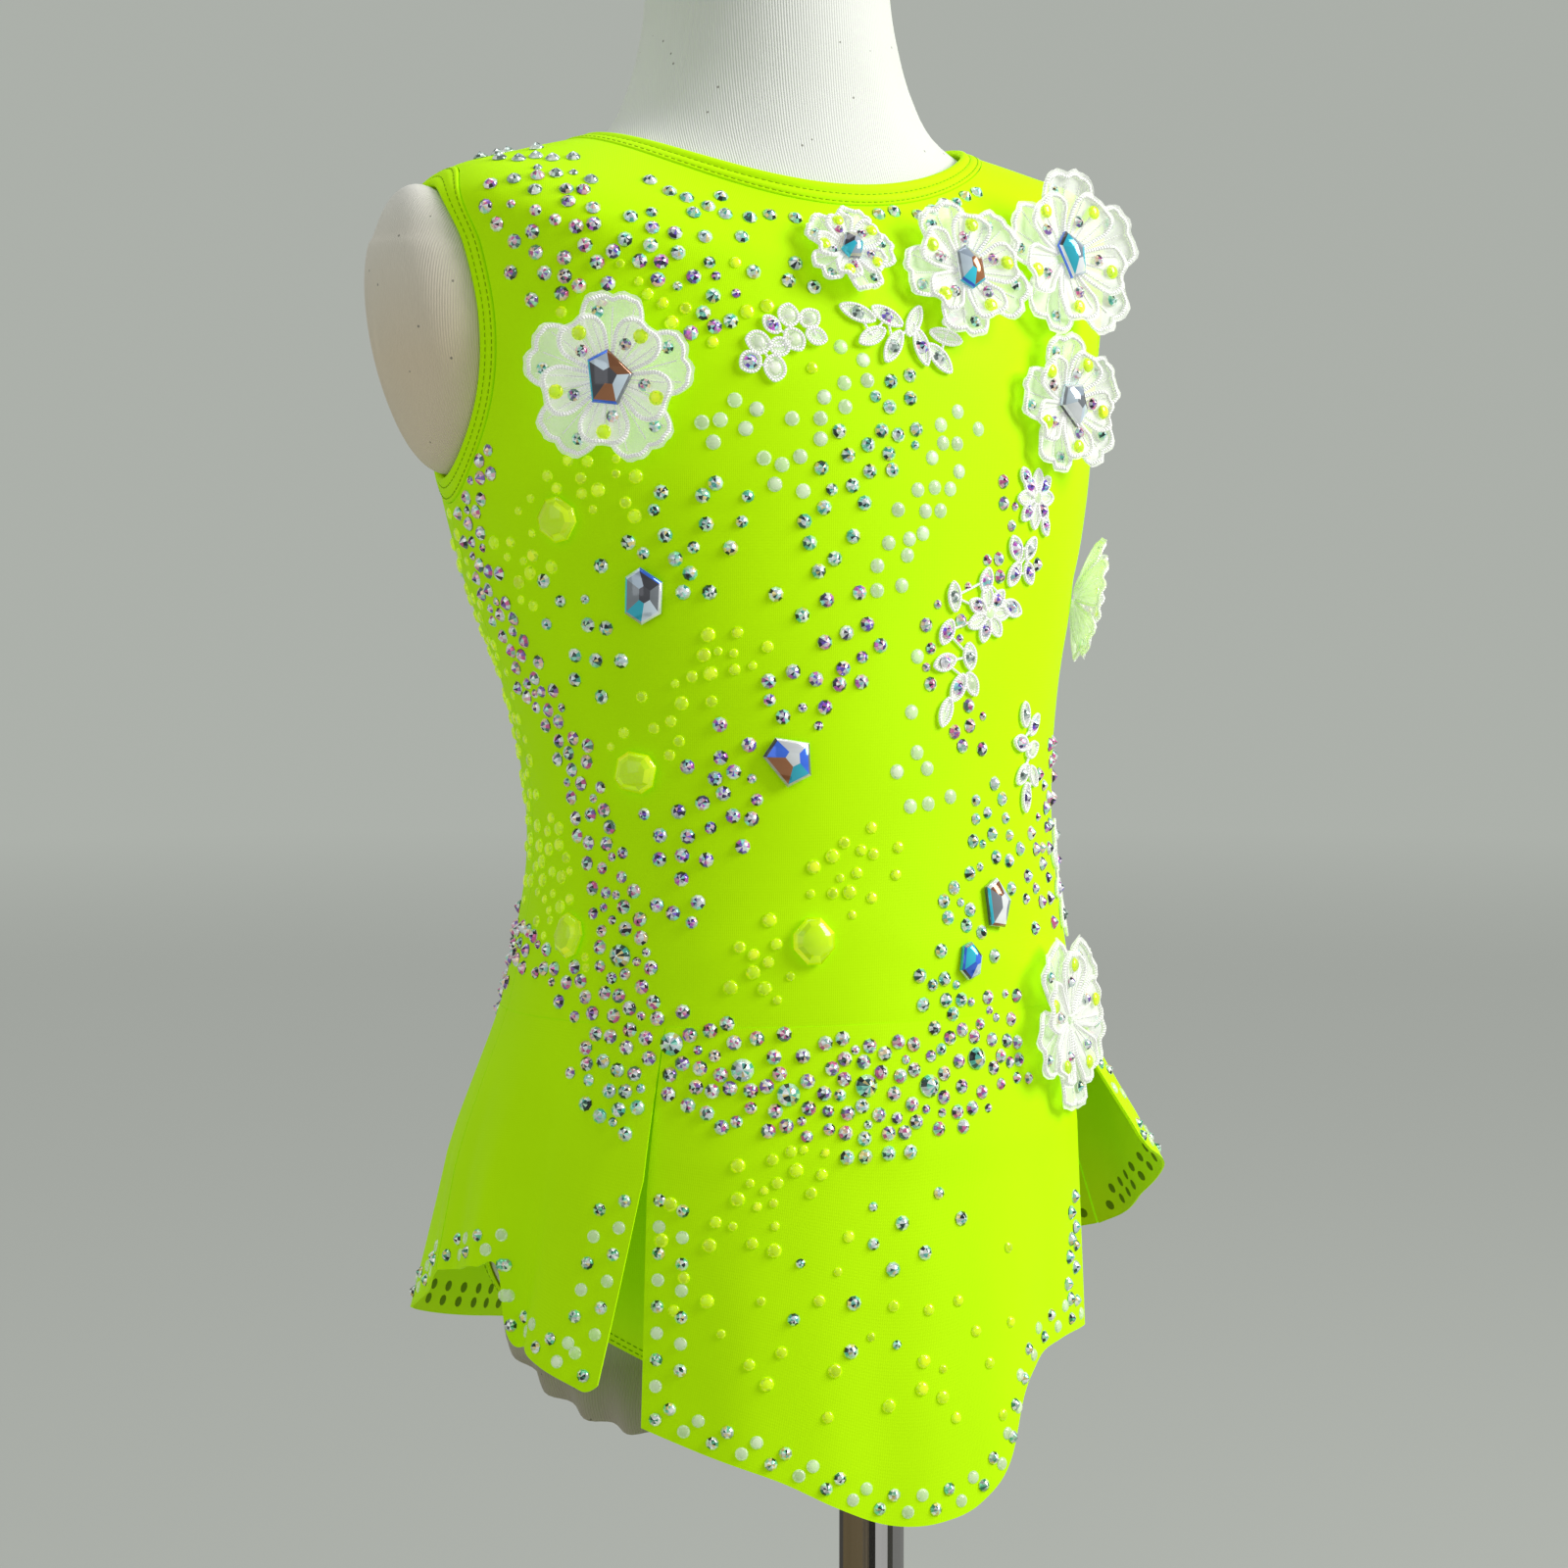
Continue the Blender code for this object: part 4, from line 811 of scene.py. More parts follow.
def on_cloth(row, plane, out):
    """Points near a place on the cloth, from distances across and up, moved out along the cloth's normal."""
    _, _, _, _, per_degree, per_level = frames(skin, np.float64(row[0]), np.float64(row[1]))
    return raised(skin, row[0] + plane[..., 0] / per_degree, row[1] + plane[..., 1] / per_level, out)


def spray_parts(row):
    """One spray's cords round its loops and from loop to loop, and the sheer leaves inside them: pointed ovals
    whose half width falls off as a power of one less the square of the way along."""
    place = row[0]
    middle, heading, half, wide, _ = spray_loops(row[1:])
    beside = np.stack([-heading[:, 1], heading[:, 0]], axis=-1)

    def leaf(along, across, grow=0.0):
        edge = (wide[:, None, None] + grow) * (1 - along**2) ** 0.72 * across
        run = (half[:, None, None] + grow) * along
        flat = heading[:, None, None] * run[..., None] + beside[:, None, None] * edge[..., None]
        return middle[:, None, None] + flat

    turn = np.sin(np.linspace(-np.pi / 2, np.pi / 2, 21))
    both = np.concatenate([turn, turn[::-1][1:]])[None, :]
    edge = np.concatenate([np.ones(21), -np.ones(20)])[None, :]
    normal = frames(skin, np.float64(place[0]), np.float64(place[1]))[3]
    outline = leaf(both, edge)[:, 0]
    cords = [tubes(on_cloth(place, outline, LOOP_CORD[1]), normal, LOOP_CORD[0])]
    inner = leaf(both * 0.96, edge, -0.0011)[:, 0]
    cords.append(tubes(on_cloth(place, inner, INNER_CORD[1]), normal, INNER_CORD[0], 5))
    knots = np.array([part[:2] for part in row[1:]]) * 0.001
    at = np.linspace(0, len(knots) - 1, 12 * len(knots))
    line = np.stack([np.interp(at, np.arange(len(knots)), knots[:, k]) for k in (0, 1)], axis=-1)
    line[1:-1] = (line[:-2] + line[1:-1] + line[2:]) / 3
    cords.append(tubes(on_cloth(place, line, JOINING_CORD[1])[None], normal, JOINING_CORD[0]))
    along = np.linspace(-0.94, 0.94, 13)[:, None]
    across = np.linspace(-1, 1, 9)[None, :]
    dome = 0.0004 + 0.0003 * (1 - across**2) * (1 - along**2) ** 0.4
    leaves = []
    for one in leaf(along, across):
        outer = on_cloth(place, one[:, ::-1], dome)
        inner = on_cloth(place, one[:, ::-1], dome - LEAF_WALL)
        leaves.append(shell(outer, inner)[:3])
    return cords, leaves


def chaton(sides, table=0.44, table_rise=0.62):
    """A flat-backed stone of radius 1: back, girdle, kite facets and table, as points and faces."""
    corner = np.linspace(0, 2 * np.pi, sides, endpoint=False)
    half = corner + np.pi / sides
    rings = [
        np.stack([np.cos(corner) * radius, np.sin(corner) * radius, 0 * corner + rise], axis=-1)
        for radius, rise in ((1.0, 0.0), (1.0, 0.20 * table_rise))
    ]
    rings.append(np.stack([np.cos(half) * 0.83, np.sin(half) * 0.83, 0 * half + 0.60 * table_rise], axis=-1))
    rings.append(np.stack([np.cos(corner) * table, np.sin(corner) * table, 0 * corner + table_rise], axis=-1))
    number = np.arange(sides)
    after = (number + 1) % sides
    girdle = np.stack([number, after, after + sides, number + sides], axis=-1)
    low = np.stack([number + sides, after + sides, number + 2 * sides], axis=-1)
    kite = np.stack([after + sides, after + 2 * sides, after + 3 * sides, number + 2 * sides], axis=-1)
    upper = np.stack([number + 2 * sides, after + 3 * sides, number + 3 * sides], axis=-1)
    faces = [number[::-1][None, :], girdle, low, kite, upper, (number + 3 * sides)[None, :]]
    return np.concatenate(rings), faces


def pointed(sides, height):
    """A flat-backed stone of radius 1 cut to a point: back, girdle, and long facets that rise to a tiny table."""
    corner = np.linspace(0, 2 * np.pi, sides, endpoint=False)
    rings = [
        np.stack([np.cos(corner) * radius, np.sin(corner) * radius, 0 * corner + rise], axis=-1)
        for radius, rise in ((1.0, 0.0), (1.0, 0.14), (0.62, 0.60 * height), (0.10, height))
    ]
    number = np.arange(sides)
    after = (number + 1) % sides
    walls = [np.stack([number, after, after + sides, number + sides], axis=-1) + k * sides for k in range(3)]
    return np.concatenate(rings), [number[::-1][None, :], *walls, (number + 3 * sides)[None, :]]


def fancy(row, cushion):
    """A fancy crystal's points and faces in its seat: a girdle with uneven corners, a low crown, and facets that
    rise from it to an off-centre point, so that each one leans its own way. A cushion has eight corners on a
    rounded square, and a wide table in place of the point."""
    half_wide, half_high, sides, turned_by = row[-4:]
    corner = np.arange(sides)
    if cushion:
        turn = turned_by + np.radians([18, 72, 108, 162, 198, 252, 288, 342])
    else:
        turn = turned_by + 2 * np.pi * (corner + CORNER_SHIFT * np.sin(CORNER_TURN * corner)) / sides
    outline = np.stack([half_wide * np.cos(turn), half_high * np.sin(turn)], axis=-1)
    table, centre = (0.62, (0.0, 0.0)) if cushion else (0.30, (0.0010, 0.0006))
    levels = ((0.90, 0.0), (1.0, 0.0004), (1.0, 0.0016), (0.82 if cushion else 0.88, 0.0024), (table, 0.0036))
    rings = [
        np.column_stack([outline * share + np.array(centre) * (share < 0.7), np.full(sides, rise)])
        for share, rise in levels
    ]
    after = (corner + 1) % sides
    walls = [
        np.stack([corner + k * sides, after + k * sides, after + (k + 1) * sides, corner + (k + 1) * sides], axis=-1)
        for k in range(4)
    ]
    return np.concatenate(rings), [corner[::-1][None, :], *walls, (corner + 4 * sides)[None, :]]


def stitch():
    """One stitch: a capsule along x, 1.6 mm long and 0.45 mm wide, as points and faces."""
    rings = [
        (x, y * wide, z * wide)
        for x, wide in ((-0.55, 1.0), (0.55, 1.0))
        for y, z in ((-0.22, 0.0), (-0.12, 0.20), (0.12, 0.20), (0.22, 0.0))
    ]
    points = np.array([*rings, (-0.80, 0.0, 0.02), (0.80, 0.0, 0.02)]) * 0.001
    low, high = np.arange(4), np.arange(4) + 4
    sides = np.stack([low, np.roll(low, -1), np.roll(high, -1), high], axis=-1)[:, ::-1]
    ends = [np.stack([low, np.roll(low, -1), np.full(4, 8)], axis=-1)]
    ends.append(np.stack([np.roll(high, -1), high, np.full(4, 9)], axis=-1))
    return points, [sides, *ends]


def stitch_row(surface, angle, level, out, pitch):
    """Frames of evenly spaced stitches along a path on a surface: x runs along the path."""
    here = raised(surface, angle, level, out)
    run = np.concatenate([[0.0], np.cumsum(np.linalg.norm(np.diff(here, axis=0), axis=-1))])
    at = np.arange(pitch / 2, run[-1], pitch)
    turn, rise = np.interp(at, run, angle), np.interp(at, run, level)
    middle = raised(surface, turn, rise, out)
    along = np.gradient(middle, axis=0)
    out_way = frames(surface, turn, rise)[3]
    along -= out_way * (along * out_way).sum(axis=-1, keepdims=True)
    along /= np.linalg.norm(along, axis=-1, keepdims=True)
    return middle, along, np.cross(out_way, along), out_way


# The cloths' threads as they are drawn, in metres: pitches of their wales, courses and windings, and the slant of
# a cord's windings in radians for one turn round it
WALE_PITCH = 0.0006
COURSE_PITCH = 0.0009
FORM_WALE_PITCH = 0.0009
ORGANZA_PITCH = 0.0004
CORD_LAY = 0.0009
CORD_SLANT = 6.28
# Where painted shade is laid on the form's cover: sideways from its axis at the arms and heights under them, for a
# warm painted shade, and heights at the hips, for a darker painted shade under the skirt
ARM_SHADE_REACH = (0.090, 0.108)
UNDER_ARM_SHADE = (0.650, 0.585)
HIP_SHADE = (0.300, 0.270)


def add(tree, kind, settings=None, inputs=None):
    """Adds a shader node; each input takes a constant or another node's output."""
    node = tree.nodes.new(kind)
    for name, value in (settings or {}).items():
        setattr(node, name, value)
    for name, value in (inputs or {}).items():
        if isinstance(value, bpy.types.NodeSocket):
            tree.links.new(value, node.inputs[name])
        else:
            node.inputs[name].default_value = value
    return node


def start_material(name):
    """An empty material's node tree."""
    finish = bpy.data.materials.new(name)
    finish.use_nodes = True
    finish.node_tree.nodes.clear()
    return finish, finish.node_tree


def end_material(tree, inputs):
    """Ends a material with one principled shader on its surface."""
    shader = add(tree, "ShaderNodeBsdfPrincipled", None, inputs)
    add(tree, "ShaderNodeOutputMaterial", None, {"Surface": shader.outputs[0]})


def cloth_axes(tree):
    """The two lengths along the cloth's own weave, in metres."""
    uv = add(tree, "ShaderNodeUVMap", {"uv_map": "cloth"})
    return add(tree, "ShaderNodeSeparateXYZ", None, {0: uv.outputs[0]}).outputs[:2]


def object_place(tree):
    """The place on the object, in metres."""
    return add(tree, "ShaderNodeTexCoord").outputs["Object"]


def noise(tree, place, scale, detail=2.0):
    """Soft noise from 0 to 1, with that many swings to the metre."""
    return add(tree, "ShaderNodeTexNoise", None, {"Vector": place, "Scale": scale, "Detail": detail}).outputs[0]


def bumps(tree, height, strength, distance):
    """A normal from a height."""
    inputs = {"Strength": strength, "Distance": distance, "Height": height}
    return add(tree, "ShaderNodeBump", None, inputs).outputs[0]


def ramp(tree, value, low, high, at_low=0.0, at_high=1.0):
    """A value mapped in a straight line from low..high to at_low..at_high, and held beyond."""
    return add(tree, "ShaderNodeMapRange", None, {0: value, 1: low, 2: high, 3: at_low, 4: at_high}).outputs[0]


def mixed(tree, factor, first, second):
    """The output of a colour mix between two colours or outputs."""
    node = add(tree, "ShaderNodeMix", {"data_type": "RGBA"})
    for index, value in ((0, factor), (6, first), (7, second)):
        if isinstance(value, bpy.types.NodeSocket):
            tree.links.new(value, node.inputs[index])
        else:
            node.inputs[index].default_value = value
    return node.outputs[2]


def maths(tree, operation, first, second=0.0):
    """The output of a maths node."""
    return add(tree, "ShaderNodeMath", {"operation": operation}, {0: first, 1: second}).outputs[0]


def waves(tree, run, pitch):
    """A sine wave along a length."""
    return maths(tree, "SINE", maths(tree, "MULTIPLY", run, 2 * np.pi / pitch))


def stretch_jersey(name, cloth, inside, glow):
    """Polyamide and elastane jersey, warp knitted and dyed neon: a fine matt rib with a soft satin sheen. The dye
    fluoresces; this is painted as a faint glow in the cloth's own tone, the same whatever the light. Its wales are
    about 0.3 mm apart, too fine to show, so they are drawn 0.6 mm apart. The inner face is darker: partly the knit's
    duller back, partly painted shade for the cloth's inside."""
    finish, tree = start_material(name)
    across, along = cloth_axes(tree)
    course = maths(tree, "MULTIPLY", waves(tree, along, COURSE_PITCH), 0.5)
    weave = maths(tree, "ADD", waves(tree, across, WALE_PITCH), course)
    place = object_place(tree)
    deep = tuple(0.88 * x for x in cloth[:3]) + (1.0,)
    outer = mixed(tree, noise(tree, place, 26.0, 3.0), cloth, deep)
    side = add(tree, "ShaderNodeVertexColor", {"layer_name": "tint"})
    # The inside colour is darker: partly the knit's duller back, partly painted shade on the cloth's inner face
    tone = mixed(tree, side.outputs[0], inside, outer)
    inputs = {
        "Base Color": tone,
        "Roughness": 0.60,
        "Specular IOR Level": 0.06,
        "Sheen Weight": 0.04,
        "Sheen Roughness": 0.35,
        "Sheen Tint": cloth,
        # Painted glow standing for the dye's fluorescence; it also carries the inner face's painted shade
        "Emission Color": tone,
        "Emission Strength": glow,
        "Normal": bumps(tree, maths(tree, "ADD", weave, noise(tree, place, 900.0)), 0.14, 0.0001),
    }
    end_material(tree, inputs)
    return finish


def cotton_jersey(name, tone):
    """Cotton jersey stretched over a padded form: matt, with fine upright wales about 0.9 mm apart and small dark
    specks of lint. A warm painted shade lies where the arms are cut off and under them, and a darker painted shade
    low on the hips, under the skirt."""
    finish, tree = start_material(name)
    across, _ = cloth_axes(tree)
    wale = maths(tree, "MULTIPLY", waves(tree, across, FORM_WALE_PITCH), 0.5)
    spot = object_place(tree)
    cells = add(tree, "ShaderNodeTexVoronoi", None, {"Vector": spot, "Scale": 240.0})
    few = add(tree, "ShaderNodeSeparateColor", None, {0: cells.outputs["Color"]})
    speck = maths(
        tree,
        "MULTIPLY",
        maths(tree, "LESS_THAN", cells.outputs["Distance"], 0.11),
        maths(tree, "GREATER_THAN", few.outputs[0], 0.80),
    )
    slub = noise(tree, spot, 60.0, 4.0)
    body = add(tree, "ShaderNodeSeparateXYZ", None, {0: spot})
    far = maths(tree, "ABSOLUTE", maths(tree, "SUBTRACT", body.outputs[0], AXIS_X))
    # Painted shade: a warm, darker tone far out at the arms and below them
    arm_shade_share = maths(tree, "MULTIPLY", ramp(tree, far, *ARM_SHADE_REACH), ramp(tree, body.outputs[2], *UNDER_ARM_SHADE))
    warm_shade = mixed(tree, arm_shade_share, tone, colour("E8D6BA"))
    # Painted shade: darker low on the hips, where the skirt shades the form
    shade = mixed(tree, ramp(tree, body.outputs[2], *HIP_SHADE), warm_shade, colour("A49C88"))
    cloudy = mixed(tree, maths(tree, "MULTIPLY", slub, 0.16), shade, colour("B9B4A8"))
    dotted = mixed(tree, maths(tree, "MULTIPLY", speck, 0.75), cloudy, colour("6A655C"))
    bump = bumps(tree, maths(tree, "ADD", wale, slub), 0.6, 0.0002)
    end_material(tree, {"Base Color": dotted, "Roughness": 0.85, "Sheen Weight": 0.25, "Normal": bump})
    return finish


def sheer_organza(name):
    """Polyester organza: a sheer plain weave whose fine threads cover about two thirds of it and catch the light.
    Its threads are 0.15 mm apart, drawn 0.4 mm apart."""
    finish, tree = start_material(name)
    across, along = cloth_axes(tree)
    weave = maths(tree, "MAXIMUM", waves(tree, across, ORGANZA_PITCH), waves(tree, along, ORGANZA_PITCH))
    cover = maths(tree, "MULTIPLY", maths(tree, "ADD", weave, noise(tree, object_place(tree), 240.0)), 0.16)
    inputs = {
        "Base Color": colour("FFFFFF"),
        "Roughness": 0.42,
        "Sheen Weight": 0.3,
        # Painted glow: the petals give off a faint whitish light, though they are no lamp
        "Emission Color": colour("F4FFE8"),
        "Emission Strength": 0.16,
        "Alpha": maths(tree, "ADD", cover, 0.24),
        "Normal": bumps(tree, weave, 0.4, 0.00008),
    }
    end_material(tree, inputs)
    return finish


def satin_cord(name):
    """Viscose satin cord: white threads wound side by side, which shine along their length. The threads are 0.2 mm
    apart, drawn wider so that they show. The grooves between them are painted greyer than the crests, as painted
    shade, and the cord gives off a painted glow."""
    finish, tree = start_material(name)
    run, round_it = cloth_axes(tree)
    turned = maths(tree, "MULTIPLY", run, 2 * np.pi / CORD_LAY)
    wound = maths(tree, "SINE", maths(tree, "ADD", turned, maths(tree, "MULTIPLY", round_it, CORD_SLANT)))
    painted_crest_light = maths(tree, "MULTIPLY", maths(tree, "ADD", wound, 1.0), 0.5)
    # Painted shade: the grooves between the windings darker, the crests white
    tone = mixed(tree, painted_crest_light, colour("E6E9E0"), colour("FFFFFF"))
    inputs = {
        "Base Color": tone,
        "Roughness": 0.36,
        "Sheen Weight": 0.35,
        "Sheen Roughness": 0.3,
        # Painted glow in the cord's own tone
        "Emission Color": tone,
        "Emission Strength": 0.22,
        "Normal": bumps(tree, wound, 0.8, 0.00018),
    }
    end_material(tree, inputs)
    return finish


def cut_glass(name, metallic, roughness, coat, glow, cover=1.0):
    """Cut glass with a thin metal coating behind or over it: each facet gives back its own colour sharply, so the
    facets' tints come with the mesh, and fine polishing marks vary the gloss. On the coated stones and fancy crystals
    the tints are painted reflections, white glints and dark facets among them; on the neon and opal stones they are
    the glass's own colour. A glow, where given, is painted light that the stone gives off though it is no lamp."""
    finish, tree = start_material(name)
    tint = add(tree, "ShaderNodeVertexColor", {"layer_name": "tint"})
    marks = noise(tree, object_place(tree), 1500.0)
    inputs = {
        "Base Color": tint.outputs[0],
        "Metallic": metallic,
        "Roughness": ramp(tree, marks, 0.0, 1.0, roughness * 0.6, roughness * 1.4),
        "Coat Weight": coat,
        "Coat Roughness": 0.04,
        "Alpha": cover,
    }
    # Painted glow: the stone's tint given off as light, though it is no lamp
    if glow > 0:
        inputs.update({"Emission Color": tint.outputs[0], "Emission Strength": glow})
    end_material(tree, inputs)
    return finish


def chromed_steel(name):
    """Chromed steel: polished and bright, with faint hairlines from wiping, mostly along the pole."""
    finish, tree = start_material(name)
    place = object_place(tree)
    drawn = add(tree, "ShaderNodeMapping", None, {"Vector": place, "Scale": (1500.0, 1500.0, 9.0)})
    lines = noise(tree, drawn.outputs[0], 1.0, 3.0)
    smears = maths(tree, "MULTIPLY", noise(tree, place, 30.0, 3.0), 0.08)
    wiped = maths(tree, "ADD", maths(tree, "MULTIPLY", lines, 0.06), smears)
    bump = bumps(tree, lines, 0.08, 0.00005)
    end_material(tree, {"Base Color": colour("D6D5D6"), "Metallic": 1.0, "Roughness": wiped, "Normal": bump})
    return finish


def studio_paper(name, tone, floor, wall):
    """Matt background paper with a faint mottle, and the even light that a white studio throws back on it: less
    on the floor than on the wall."""
    finish, tree = start_material(name)
    place = object_place(tree)
    soft = mixed(tree, maths(tree, "MULTIPLY", noise(tree, place, 3.0, 4.0), 0.08), tone, colour("646762"))
    height = add(tree, "ShaderNodeSeparateXYZ", None, {0: place}).outputs[2]
    lit = mixed(tree, ramp(tree, height, -0.02, 0.12), floor, wall)
    end_material(tree, {"Base Color": soft, "Roughness": 0.9, "Emission Color": lit, "Emission Strength": 0.72})
    return finish


def card_paper(name, tone):
    """A sheet of card beside the set that only shows in reflections: matt paper, lit evenly, a little mottled."""
    finish, tree = start_material(name)
    mottle = maths(tree, "MULTIPLY", noise(tree, object_place(tree), 2.0), 0.3)
    soft = mixed(tree, mottle, tone, colour("3A3833"))
    inputs = {"Base Color": colour("000000"), "Roughness": 1.0, "Emission Color": soft, "Emission Strength": 1.0}
    end_material(tree, inputs)
    return finish


MATERIALS = {}


def material(name, make, *values):
    """A material by name, made the first time that a piece asks for it."""
    if name not in MATERIALS:
        MATERIALS[name] = make(name, *values)
    return MATERIALS[name]


def lime(settings):
    # BEE400 is the inner face: partly a duller back, partly painted shade; 0.08 is a painted glow
    return material("neon_stretch_jersey", stretch_jersey, (*settings.cloth_colour, 1.0), colour("BEE400"), 0.08)


def form_cover(settings):
    return material("cotton_form_jersey", cotton_jersey, (*settings.form_colour, 1.0))


def organza():
    return material("sheer_organza", sheer_organza)


def cord_satin():
    return material("satin_cord", satin_cord)


def coated_glass():
    return material("coated_cut_glass", cut_glass, 0.40, 0.12, 0.6, 0.10)


def neon_glass():
    return material("neon_cut_glass", cut_glass, 0.0, 0.14, 0.6, 0.20, 0.80)


def opal_glass():
    return material("opal_cut_glass", cut_glass, 0.0, 0.22, 0.5, 0.12, 0.55)


def tone_of(name, text, code):
    """A setting for a colour."""
    default = tuple(linear(code))
    return bpy.props.FloatVectorProperty(
        name=name, description=text, subtype="COLOR", size=3, min=0.0, max=1.0, default=default
    )


def distance(name, text, default):
    """A setting for a length."""
    return bpy.props.FloatProperty(name=name, description=text, subtype="DISTANCE", unit="LENGTH", default=default)


class LeotardSettings(bpy.types.PropertyGroup):
    """Sizes and colours of the leotard that a user would change."""

    cloth_colour: tone_of("Jersey", "Linear colour of the neon jersey", "C4FF00")
    form_colour: tone_of("Form", "Linear colour of the form's jersey", "E6E8E3")
    cloth_wall: distance("Jersey thickness", "Thickness of the leotard's cloth", CLOTH)
    stitch_pitch: distance("Stitch pitch", "Distance from one stitch of a band to the next", STITCH_PITCH)
    hem_pitch: distance("Hem stone pitch", "Distance between the stones along the skirt's hem", HEM_PITCH)
    stone_gap: distance("Stone gap", "Least distance between two flat-backed stones", STONE_GAP)


def form_torso(settings):
    """The form's body under the cloth, with its neck: the cloth's surface moved in, closed at both ends."""
    low = np.linspace(FORM_FOOT, 0.262, 10)
    levels = np.concatenate([low, np.linspace(0.266, NECK_SEAM, 90), np.linspace(0.679, FORM_TOP, 30)])
    angle = np.linspace(180, 540, 145)[None, :]
    outer = raised(skin, angle, levels[:, None], -UNDER_CLOTH)
    outer[:, -1] = outer[:, 0]
    middle = outer[-1, :-1].mean(axis=0)
    rim = outer[-1] - middle
    ends = [middle + rim * share + (0, 0, rise) for share, rise in ((0.985, 0.0010), (0.94, 0.0016))]
    grid = np.concatenate([outer, np.stack(ends)])
    foot = outer[0, :-1].mean(axis=0)
    points, faces, uv = capped(grid, foot, middle + (0, 0, 0.0018), grid_uv(grid), [[0, 0], [0, 0.5]])
    piece = put_mesh("form_torso", points, faces, form_cover(settings), uv, weld=True)
    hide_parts("form_body")


# How far the cut arms bulge out of the armholes: -1 the right one, 1 the left one
STUMP_BULGE = {-1: 0.021, 1: 0.004}
# The form's cover has a loose end at the right leg: levels of the ends of its upper edge, how far it hangs, how
# far it bulges and ripples, and its wall
COVER_LEVELS = (0.2985, 0.2490)
COVER_HANG = 0.0290
COVER_BULGE = 0.0045
COVER_RIPPLE = 0.0016
COVER_WALL = 0.0008


def form_stump(settings, side):
    """An arm's cut end inside the armhole: its height over the form is the bulge times a root of one less a power
    of the share of the way out from the armhole's middle, a little fuller at the top."""
    share = np.sin(np.linspace(0.06, np.pi / 2, 34))[:, None] * 1.02
    turn = np.linspace(0, 2 * np.pi, 97)[None, :]
    level = ARMHOLE_LEVEL - share * (ARMHOLE_HALF_HEIGHT - 0.0006) * np.cos(turn)
    reach = np.where(np.sin(turn) > 0, ARMHOLE_FRONT, ARMHOLE_BACK)
    angle = side * (seam_angle(level) - share * reach * np.sin(turn))
    bulge = STUMP_BULGE[side] * (1 - 0.22 * share * np.cos(turn))
    dome = np.clip(1 - np.clip(share, 0, 1) ** 2.6, 0, None) ** (1 / 2.2)
    outer = raised(skin, angle, level, -UNDER_CLOTH - 0.0010 + bulge * dome)
    outer[:, -1] = outer[:, 0]
    steps = np.linalg.norm(np.diff(outer, axis=0), axis=-1).mean(axis=1)
    away = np.concatenate([[0.0], np.cumsum(steps)])[:, None]
    uv = np.stack([away * np.sin(turn), -away * np.cos(turn)], axis=-1)
    if side > 0:
        outer, uv = outer[:, ::-1], uv[:, ::-1]
    low, high = outer[0, :-1].mean(axis=0), outer[-1, :-1].mean(axis=0)
    points, faces, uv = capped(outer, low, high, uv, [[0, 0], [0, 0]])
    name = "form_arm_right" if side < 0 else "form_arm_left"
    put_mesh(name, points, faces, form_cover(settings), uv, weld=True)


def form_boss(settings):
    """The boss under the form that takes the pole's flange: a short upright cylinder with rounded lower corners,
    closed at both ends; its top is inside the form."""
    radius = BOSS_RADIUS + np.array([-0.0030, -0.0012, -0.0003, 0.0, 0.0, 0.0, -0.0002])
    height = np.array([BOSS_FOOT, BOSS_FOOT + 0.0003, BOSS_FOOT + 0.0012, BOSS_FOOT + 0.003, 0.245, 0.255, BOSS_TOP])
    turn = np.linspace(0, 2 * np.pi, 65)[None, :]
    x, y = POLE_X + radius[:, None] * np.cos(turn), POLE_Y + radius[:, None] * np.sin(turn)
    outer = np.stack([x, y, height[:, None] + 0 * turn], axis=-1)
    low, high = (POLE_X, POLE_Y, height[0]), (POLE_X, POLE_Y, height[-1])
    points, faces, uv = capped(outer, low, high, grid_uv(outer), [[0, 0], [0, 0.04]])
    put_mesh("form_boss", points, faces, form_cover(settings), uv, weld=True)


def form_cover_end(settings):
    """The loose end of the form's cover at the right leg: it starts under the leg opening's edge, bulges out by
    half a sine wave and hangs, most in the middle, with small ripples along its lower edge."""
    level = np.linspace(*COVER_LEVELS, 61)
    share = np.linspace(0, 1, 61)[None, :]
    rise = np.linspace(0, 1, 13)[:, None]
    top = raised(skin, 1.0 - panel_edge(level, False), level - 0.0005, 0.0002 - UNDER_CLOTH)
    away = top - (AXIS_X, AXIS_Y, 0.0)
    away[:, 2] = 0.0
    away /= np.linalg.norm(away, axis=-1, keepdims=True)
    drop = COVER_HANG * np.sin(np.pi * (0.31 + 0.68 * share)) * (1 - rise)
    ripple = COVER_RIPPLE * np.sin(2 * np.pi * 6.5 * share + 2.0 * share**2) * (1 - rise)
    bulge = COVER_BULGE * np.sin(np.pi * rise) * (1 - rise) + ripple
    outer = top[None] + away[None] * bulge[..., None]
    outer[..., 2] -= drop + 0.4 * ripple
    points, faces, uv, tints = shell(outer, outer - away[None] * COVER_WALL)
    piece = put_mesh("form_cover_end", points, faces, form_cover(settings), uv, tints)
    declare_cloth(outer)


class LEOTARD_OT_form(bpy.types.Operator):
    """Makes the dress form: its torso with the neck, the two cut arms, the boss and the cover's loose end."""

    bl_idname = "leotard.form"
    bl_label = "Dress form"

    def execute(self, context):
        settings = context.scene.leotard
        form_torso(settings)
        form_stump(settings, -1)
        form_stump(settings, 1)
        form_boss(settings)
        form_cover_end(settings)
        return {"FINISHED"}


